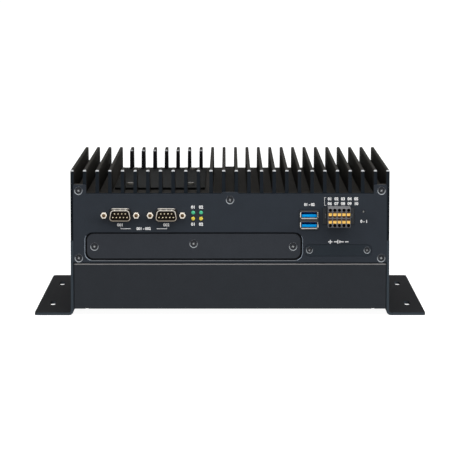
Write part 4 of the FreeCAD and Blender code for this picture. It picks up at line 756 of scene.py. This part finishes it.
paint(insulator_plastic, "serial_insulators")

gold = finish_material("pale gold flash", (0.80, 0.70, 0.50), 0.3, metallic=1.0,
                       grain_at=SMALL_GRAIN, mottle=0.05)
pin_low, pin_high, _ = extent("serial_pins")
pin = rod(PIN_RADIUS, pin_high.y - pin_low.y, 20)
rounded(pin, "+Z", PIN_ROUNDING, 5)
belongs(repeated(pin, front_spots("serial_pins"), "serial_pins_rounded", "-Y"), gold,
        stands_for=("serial_pins",))

bpy.ops.mesh.primitive_uv_sphere_add(segments=16, ring_count=8, radius=DIMPLE_RADIUS)
dimple = bpy.context.object
dimple.scale = (1.0, 1.0, DIMPLE_SHARE)
flatten(dimple)
dimple_spots = []
for name in ("serial_shell_left", "serial_shell_right"):
    low, high, middle = extent(name)
    dimple_spots += [(middle.x + step * DIMPLE_REACH, low.y + DIMPLE_BEHIND,
                      middle.z + side * DIMPLE_REACH)
                     for step in (-1, 0, 1) for side in (1, -1)]
belongs(repeated(dimple, dimple_spots, "shell_dimples"), nickel)

# the jackscrews: a chamfered hexagon with a threaded bore, and its stud through the flange
bore_steel = finish_material("brassy bore", (0.30, 0.185, 0.085), 0.35, metallic=0.8,
                             grain_at=SMALL_GRAIN)
jack_low, jack_high = solids_of("jackscrews")[0]
jack_deep = front_face - jack_low.y
jackscrew = rod(JACK_FLATS / sqrt(3.0), jack_deep, 6)
rounded(jackscrew, "+Z", JACK_ROUNDING, 3)
bpy.ops.mesh.primitive_cone_add(vertices=32, radius1=BORE_END, radius2=BORE_MOUTH,
                                depth=BORE_DEEP, location=(0, 0, BORE_SPARE - BORE_DEEP / 2))
bore = bpy.context.object
flatten(bore)
cut_away(jackscrew, bore)
two_finishes(jackscrew, jack_metal, bore_steel, BORE_MOUTH + BORE_NEAR, BORE_SPARE - jack_deep,
             -BORE_SPARE)
bpy.ops.mesh.primitive_torus_add(major_radius=THREAD_RADIUS, minor_radius=THREAD_THICK,
                                 major_segments=32, minor_segments=6)
thread = bpy.context.object
thread.data.materials.append(bore_steel)
turns = repeated(thread, [(0, 0, -THREAD_FIRST - step * THREAD_PITCH)
                          for step in range(THREAD_TURNS)], "thread turns")
stud = rod(STUD_RADIUS, jack_high.y - front_face, 24, top=-jack_deep)
stud.data.materials.append(jack_metal)
jackscrew = merged([jackscrew, turns, stud], "jackscrew master")
jackscrew.rotation_euler.z = pi / 6
flatten(jackscrew)
belongs(repeated(jackscrew, front_spots("jackscrews"), "jackscrews_threaded", "-Y"), None,
        stands_for=("jackscrews",))

# --- Signal lamps -------------------------------------------------------------------------------
# Round lamps of tinted plastic, green and yellow, each domed at its front.  They are pressed into
# a black holder on the board and look out through holes in the panel.
LAMP_RADIUS, LAMP_DOME = 1.5 * MM, 0.7 * MM
green_lens = finish_material("green lens", (0.05, 0.52, 0.27), 0.22, grain_at=SMALL_GRAIN,
                             mottle=0.05)
yellow_lens = finish_material("yellow lens", (0.78, 0.62, 0.06), 0.22, grain_at=SMALL_GRAIN,
                              mottle=0.05)
for name, lens, slot in (("green_lamps", green_lens, "green_lens"),
                         ("yellow_lamps", yellow_lens, "yellow_lens")):
    low, high = solids_of(name)[0]
    lamp = rod(LAMP_RADIUS, high.y - low.y, 32)
    rounded(lamp, "+Z", LAMP_DOME, 6)
    belongs(repeated(lamp, front_spots(name), name + "_domed", "-Y"), lens,
            stands_for=(name,))

# --- Data ports ---------------------------------------------------------------------------------
# One stamped steel shell round two mouths.  A thin lip is folded round each mouth, its lower side
# painted bright as a highlight and its top and sides darker as shade; springs bulge at both sides,
# and a bright blue tongue with small gilt contacts fills most of each mouth.
MOUTH_RISE = 3.9 * MM       # from the shell's middle to each mouth's
LIP_BEHIND, WITHIN, FILL_BEHIND = 0.1 * MM, 4.9 * MM, 9.0 * MM     # from the shell's front
TOP_LIP, TOP_LIP_UP = (12.6, 0.3, 0.2), 2.4 * MM
LOW_LIP, LOW_LIP_DOWN = (12.2, 0.3, 0.75), 2.75 * MM
SIDE_LIP, LIP_ASIDE = (0.3, 0.3, 4.7), 6.12 * MM
SPRING, SPRING_ASIDE = (0.42, 0.5, 4.2), 6.12 * 1.09 * MM
SPRING_HALF, SPRING_BULGE = 2.1 * MM, 0.16 * MM
ROOF, ROOF_UP = (11.7, 7.8, 1.0), 1.75 * MM
TONGUE, TONGUE_DOWN = (11.6, 8.2, 2.2), 0.75 * MM
FILL = (11.7, 0.9, 4.3)
CONTACT, CONTACT_DOWN, CONTACT_PITCH = (1.1, 6.4, 0.16), 1.98 * MM, 2.3 * MM
shell_steel = finish_material("dull shell steel", (0.050, 0.050, 0.052), 0.55, metallic=0.1,
                              specular=0.2, grain_at=PLATE_GRAIN)
paint(shell_steel, "data_port_shell")
lower_lip_highlight = finish_material("lower lip highlight steel", (0.46, 0.44, 0.42), 0.35, metallic=0.8,
                             grain_at=PLATE_GRAIN)
lip_steel = finish_material("lip steel", (0.16, 0.158, 0.155), 0.4, metallic=0.6,
                            grain_at=PLATE_GRAIN)
blue_plastic = finish_material("blue moulding", (0.0, 0.40, 1.0), 0.4, specular=0.12,
                               grain_at=SMALL_GRAIN, mottle=0.04)
shaded_blue_plastic = finish_material("blue moulding painted as shade", (0.001, 0.028, 0.16), 0.5, specular=0.08,
                               grain_at=SMALL_GRAIN)
port_low, _, port = extent("data_port_shell")


def in_mouths(behind, rise, *asides):
    """Spots in both mouths: behind the shell's front, above a mouth's middle, and aside."""
    return [(port.x + aside, port_low.y + behind, port.z + level + rise)
            for level in (-MOUTH_RISE, MOUTH_RISE) for aside in asides or (0.0,)]


top_lips = repeated(bar(TOP_LIP), in_mouths(LIP_BEHIND, TOP_LIP_UP), "top lips")
side_lips = repeated(bar(SIDE_LIP), in_mouths(LIP_BEHIND, 0.0, -LIP_ASIDE, LIP_ASIDE),
                     "side lips")
belongs(merged([top_lips, side_lips], "data_port_lips"), lip_steel)
# painted highlight: the lower lips are painted brighter than the top and side lips of the same
# steel
low_lips = in_mouths(LIP_BEHIND, -LOW_LIP_DOWN)
belongs(repeated(bar(LOW_LIP), low_lips, "data_port_lower_lips"), lower_lip_highlight)
springs = []
for side in (-1, 1):
    spring = bar(SPRING, soft=0.18)
    pick(spring, "X", 0.9)
    bpy.ops.mesh.subdivide(number_cuts=4)
    bpy.ops.object.mode_set(mode="OBJECT")
    for vertex in spring.data.vertices:
        vertex.co.x += side * SPRING_BULGE * (1.0 - (vertex.co.z / SPRING_HALF) ** 2)
    spring_spots = in_mouths(LIP_BEHIND, 0.0, side * SPRING_ASIDE)
    springs.append(repeated(spring, spring_spots, "springs of one side"))
belongs(merged(springs, "data_port_springs"), nickel)
tongues = repeated(bar(TONGUE, soft=0.2), in_mouths(WITHIN, -TONGUE_DOWN), "tongues")
fills = repeated(bar(FILL, soft=0.1), in_mouths(FILL_BEHIND, 0.0), "fills")
belongs(merged([tongues, fills], "data_port_tongues_filled"), blue_plastic,
        stands_for=("data_port_tongues",))
# painted shade: each roof is the blue moulding painted navy, for the shade inside the mouth
belongs(repeated(bar(ROOF), in_mouths(WITHIN, ROOF_UP), "data_port_roofs"), shaded_blue_plastic)
contact_spots = in_mouths(WITHIN, -CONTACT_DOWN, *((step - 1.5) * CONTACT_PITCH
                                                   for step in range(4)))
belongs(repeated(bar(CONTACT, soft=0.05), contact_spots, "data_port_contacts"), gold)

# --- Terminal block -----------------------------------------------------------------------------
# A black header in the panel holds a pull-off plug of grey polyamide.  Each of its ten poles has a
# round wire hole over a steel clamp painted near-black as the shade deep in the hole, and an
# orange button that is pushed in to free the wire.
POLES = 10
ROOT_STRIP = 0.75 * MM      # of each button, in the shade of the plug's housing
BUTTON_ROUNDING, BUTTON_DISH = 0.28 * MM, (0.35 * MM, 0.22 * MM)
HOLE_UP = 5.9 * MM          # from the plug's middle to the wire holes
CLAMP_Y = 0.85 * MM         # behind the plug's face
CLAMP_RADIUS, CLAMP_LONG, CLAMP_DISH = 1.27 * MM, 1.2 * MM, (0.3 * MM, 0.3 * MM)
RELEASE_SPRING, SPRING_GAP, SPRING_Y = (2.5, 2.6, 0.42), 0.36 * MM, 1.35 * MM
TEST_SLOT, TEST_SLOT_UP, SLOT_DISH = (2.0, 0.1, 0.8), 0.5 * MM, (0.2 * MM, 0.03 * MM)
grey_plastic = finish_material("grey moulding", (0.125, 0.125, 0.132), 0.55, specular=0.3,
                               grain_at=SMALL_GRAIN)
paint(grey_plastic, "terminal_plug")
header_plastic = finish_material("header moulding", (0.026, 0.029, 0.033), 0.5, specular=0.25,
                                 grain_at=SMALL_GRAIN)
paint(header_plastic, "terminal_header")
latch_plastic = finish_material("dark latch moulding", (0.085, 0.095, 0.105), 0.45,
                                specular=0.3, grain_at=SMALL_GRAIN)
paint(latch_plastic, "header_latches")
orange_plastic = finish_material("orange moulding", (1.0, 0.60, 0.13), 0.45, specular=0.35,
                                 grain_at=SMALL_GRAIN, mottle=0.05)
# painted shade: a dark strip at the top of each button
for name in ("release_button_1", "release_button_6"):
    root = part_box(name)[1][2]
    strip = between(orange_plastic, "Z", root - ROOT_STRIP, root + 0.1 * MM)
    second_colour(orange_plastic, strip, (0.045, 0.014, 0.006))
spring_red = finish_material("shadowed spring", (0.05, 0.018, 0.010), 0.6, specular=0.05,
                             grain_at=SMALL_GRAIN)
wire_hole_shade = finish_material("painted wire hole shade", (0.003, 0.002, 0.002), 0.8, specular=0.01,
                             grain_at=SMALL_GRAIN)
low, high, _ = extent("release_button_1")
bpy.ops.mesh.primitive_cube_add(size=1.0)
button = bpy.context.object
button.scale = high - low
flatten(button)
rounded(button, "-Y", BUTTON_ROUNDING, 3)
sunk(button, "-Y", BUTTON_DISH)
plug_low, _, plug = extent("terminal_plug")
clamp_spots, spring_spots, slot_spots = [], [], []
for number in range(1, POLES + 1):
    name = "release_button_%d" % number
    upper = number <= POLES // 2
    low, high, middle = extent(name)
    belongs(copies(button, [Matrix.Translation(middle)], name + "_dished"), orange_plastic,
            body="button_%d" % number, stands_for=(name,))
    hole = plug.z + (HOLE_UP if upper else -HOLE_UP)
    clamp_spots.append((middle.x, plug_low.y + CLAMP_Y, hole))
    gap = low.z - SPRING_GAP if upper else high.z + SPRING_GAP
    spring_spots.append((middle.x, plug_low.y + SPRING_Y, gap))
    if upper:
        slot_spots.append((middle.x, plug_low.y, plug.z + TEST_SLOT_UP))
bpy.data.objects.remove(button)
bpy.ops.mesh.primitive_cylinder_add(vertices=32, radius=CLAMP_RADIUS, depth=CLAMP_LONG,
                                    rotation=(pi / 2, 0, 0))
clamp = bpy.context.object
flatten(clamp)
sunk(clamp, "-Y", CLAMP_DISH)
belongs(repeated(clamp, clamp_spots, "wire_clamps"), wire_hole_shade)
belongs(repeated(bar(RELEASE_SPRING, soft=0.08), spring_spots, "release_springs"), spring_red)
# painted shade: the test slots are thin dark plates that stand for the shade in their openings
window = bar(TEST_SLOT, soft=0.03)
sunk(window, "-Y", SLOT_DISH)
belongs(repeated(window, slot_spots, "test_slots"), spring_red)

# --- Reset and power switches -------------------------------------------------------------------
# The reset plunger sits behind a pin hole and is pale.  The power button is a turned steel cap in
# a thin ring, dished for the finger.
CAP_ROUNDING, CAP_RIM, CAP_DISH = 0.4 * MM, (0.8 * MM, 0.15 * MM), (2.2 * MM, 0.2 * MM)
RING_RADIUS, RING_THICK, RING_PROUD = 5.7 * MM, 0.45 * MM, 0.05 * MM
RING_FLAT = (1.0, 0.6, 1.0)
white_plastic = finish_material("pale moulding", (0.75, 0.75, 0.72), 0.4, grain_at=SMALL_GRAIN,
                                mottle=0.04)
paint(white_plastic, "reset_plunger")
turned_steel = finish_material("turned steel", (0.62, 0.62, 0.63), 0.3, metallic=1.0,
                               grain_at=1500.0)
low, high, middle = extent("power_button")
bpy.ops.mesh.primitive_cylinder_add(vertices=64, radius=(high.x - low.x) / 2,
                                    depth=high.y - low.y, location=middle,
                                    rotation=(pi / 2, 0, 0))
cap = bpy.context.object
flatten(cap)
rounded(cap, "+Y", CAP_ROUNDING, 4)
sunk(cap, "+Y", CAP_RIM, CAP_DISH)
cap.name = "power_button_dished"
belongs(cap, turned_steel, body="power", stands_for=("power_button",))
bpy.ops.mesh.primitive_torus_add(major_radius=RING_RADIUS, minor_radius=RING_THICK,
                                 major_segments=64, minor_segments=12,
                                 location=(middle.x, rear_face + RING_PROUD, middle.z),
                                 rotation=(pi / 2, 0, 0))
ring = bpy.context.object
flatten(ring)
resized(ring, "+Y", RING_FLAT, 0.8)
ring.name = "power_button_ring"
belongs(ring, nickel)

# --- Rear ports ---------------------------------------------------------------------------------
# Two network jacks in one plated shell with gilt contact wires and a pair of small lamps each, a
# video port with its contacts, and a black power inlet whose three wire screws face the back.
JACK_ASIDE, JACK_DEEP = 8.0 * MM, 0.8 * MM
WIRE, WIRE_PITCH, WIRE_IN, WIRE_UP = (0.45, 7.0, 0.3), 1.02 * MM, 6.5 * MM, 3.0 * MM
WINDOW, WINDOW_IN = (2.6, 0.5, 1.6), 0.05 * MM
WINDOW_ASIDE, WINDOW_DOWN = 4.6 * MM, 5.4 * MM
VIDEO_WIRE, VIDEO_PITCH, VIDEO_IN, VIDEO_UP = (0.5, 6.0, 0.16), 1.25 * MM, 4.2 * MM, 0.5 * MM
jack_shell = finish_material("network jack shell", (0.30, 0.30, 0.31), 0.4, metallic=0.6,
                             grain_at=PLATE_GRAIN)
low, high, middle = extent("network_jacks")
jack_face = high.y
# painted shade: the jack shell is near-black deeper than JACK_DEEP behind its face, inside the
# openings
second_colour(jack_shell, between(jack_shell, "Y", 0.0, jack_face - JACK_DEEP),
              (0.012, 0.012, 0.012))
paint(jack_shell, "network_jacks")
paint(black_plastic, "power_inlet")
paint(shell_steel, "video_port")
jacks = (middle.x - JACK_ASIDE, middle.x + JACK_ASIDE)
wire_spots = [(jack_x + (step - 3.5) * WIRE_PITCH, jack_face - WIRE_IN, middle.z + WIRE_UP)
              for jack_x in jacks for step in range(8)]
belongs(repeated(bar(WIRE, soft=0.1), wire_spots, "network_contacts"), gold)
for reach, colour, lens in ((-WINDOW_ASIDE, "green", green_lens),
                            (WINDOW_ASIDE, "yellow", yellow_lens)):
    window_spots = [(jack_x + reach, jack_face - WINDOW_IN, middle.z - WINDOW_DOWN)
                    for jack_x in jacks]
    belongs(repeated(bar(WINDOW, soft=0.2), window_spots, "network_%s_windows" % colour), lens)
low, high, middle = extent("video_port")
video_spots = [(middle.x + (step - 4) * VIDEO_PITCH, high.y - VIDEO_IN, middle.z + VIDEO_UP)
               for step in range(9)]
belongs(repeated(bar(VIDEO_WIRE, soft=0.04), video_spots, "video_contacts"), gold)

# --- Printed marks on the front panel -----------------------------------------------------------
# Plain white screen-printed marks beside the ports: port and pole numbers, the lines that group
# them, and a cell's sign between a plus and a minus over the clock cell's cover.  Places are in
# millimetres, across from the middle and up from the feet.
PRINT_Y = front_face - 0.02 * MM
LETTER = 1.35               # the font's size against the height of a digit
INK_THICK, INK_BOLD = 0.03 * MM, 0.15 * MM
DIGIT, LAMP_DIGIT, RANGE_DIGIT, SIGN_DIGIT = 2.3, 2.35, 2.1, 2.2
SERIAL_LEFT, SERIAL_RIGHT, SERIAL_UP = -85.0, -49.3, 70.5
TIE_LOW, TIE_HIGH, POST_WIDE, POST_HIGH = 67.35, 67.85, 0.4, 68.4
LAMP_LEFT, LAMP_RIGHT = -28.5, -22.4
POLE_FIRST, POLE_PITCH, UPPER_POLES, LOWER_POLES = 77.2, 5.1, 90.7, 87.0
GROUP_LEFT, GROUP_LOW, GROUP_TOP, GROUP_HIGH = 73.0, 85.6, 91.7, 92.1
GROUP_LINE, GROUP_ARM = 0.25, 1.3
CELL_LINE, STROKE, TALL_STROKE, SHORT_STROKE = 57.4, 0.42, 1.5, 0.95    # half their heights
ink = finish_material("white ink", (0.92, 0.92, 0.92), 0.6, specular=0.2, grain_at=3000.0,
                      mottle=0.05)
marks = []


def printed_number(text, across, up, tall):
    """Digits printed on the front panel, centred at a place."""
    bpy.ops.object.text_add(location=(across * MM, PRINT_Y, up * MM), rotation=(pi / 2, 0, 0))
    digits = bpy.context.object
    digits.data.body = text
    digits.data.size = tall * LETTER * MM
    digits.data.align_x = "CENTER"
    digits.data.align_y = "CENTER"
    digits.data.extrude = INK_THICK
    digits.data.offset = INK_BOLD
    digits.data.resolution_u = 4
    alone(digits)
    bpy.ops.object.convert(target="MESH")
    flatten(digits)
    marks.append(digits)


def printed_line(left, right, low, high):
    """A straight printed line between two places."""
    spot = ((left + right) / 2 * MM, PRINT_Y, (low + high) / 2 * MM)
    marks.append(bar((right - left, 0.06, high - low), spot, 0.02))


printed_number("001", SERIAL_LEFT, SERIAL_UP, DIGIT)
printed_number("002", SERIAL_RIGHT, SERIAL_UP, DIGIT)
for left, right, post in ((-84.7, -77.0, -84.7), (-56.7, -48.7, -49.1)):
    printed_line(left, right, TIE_LOW, TIE_HIGH)
    printed_line(post, post + POST_WIDE, TIE_LOW, POST_HIGH)
printed_number("001 - 002", -66.9, 67.6, RANGE_DIGIT)
for across, text in ((LAMP_LEFT, "01"), (LAMP_RIGHT, "02")):
    for up in (84.3, 71.0):
        printed_number(text, across, up, LAMP_DIGIT)
printed_number("01 - 02", 61.4, 86.3, RANGE_DIGIT)
for place in range(POLES // 2):
    across = POLE_FIRST + place * POLE_PITCH
    printed_number("%02d" % (place + 1), across, UPPER_POLES, DIGIT)
    printed_number("%02d" % (place + 1 + POLES // 2), across, LOWER_POLES, DIGIT)
printed_line(GROUP_LEFT, GROUP_LEFT + GROUP_LINE, GROUP_LOW, GROUP_HIGH)
for up in (GROUP_LOW, GROUP_TOP):
    printed_line(GROUP_LEFT, GROUP_LEFT + GROUP_ARM, up, up + GROUP_LINE)
printed_number("0 - 1", 103.7, 73.2, SIGN_DIGIT)
for left, right, half in ((76.1, 77.3, STROKE), (77.3, 78.1, TALL_STROKE), (78.1, 79.3, STROKE),
                          (80.5, 83.1, STROKE), (83.1, 83.9, TALL_STROKE),
                          (84.6, 85.6, SHORT_STROKE), (85.6, 88.1, STROKE),
                          (89.1, 91.7, STROKE)):
    printed_line(left, right, CELL_LINE - half, CELL_LINE + half)
belongs(merged(marks, "printed_marks"), ink)
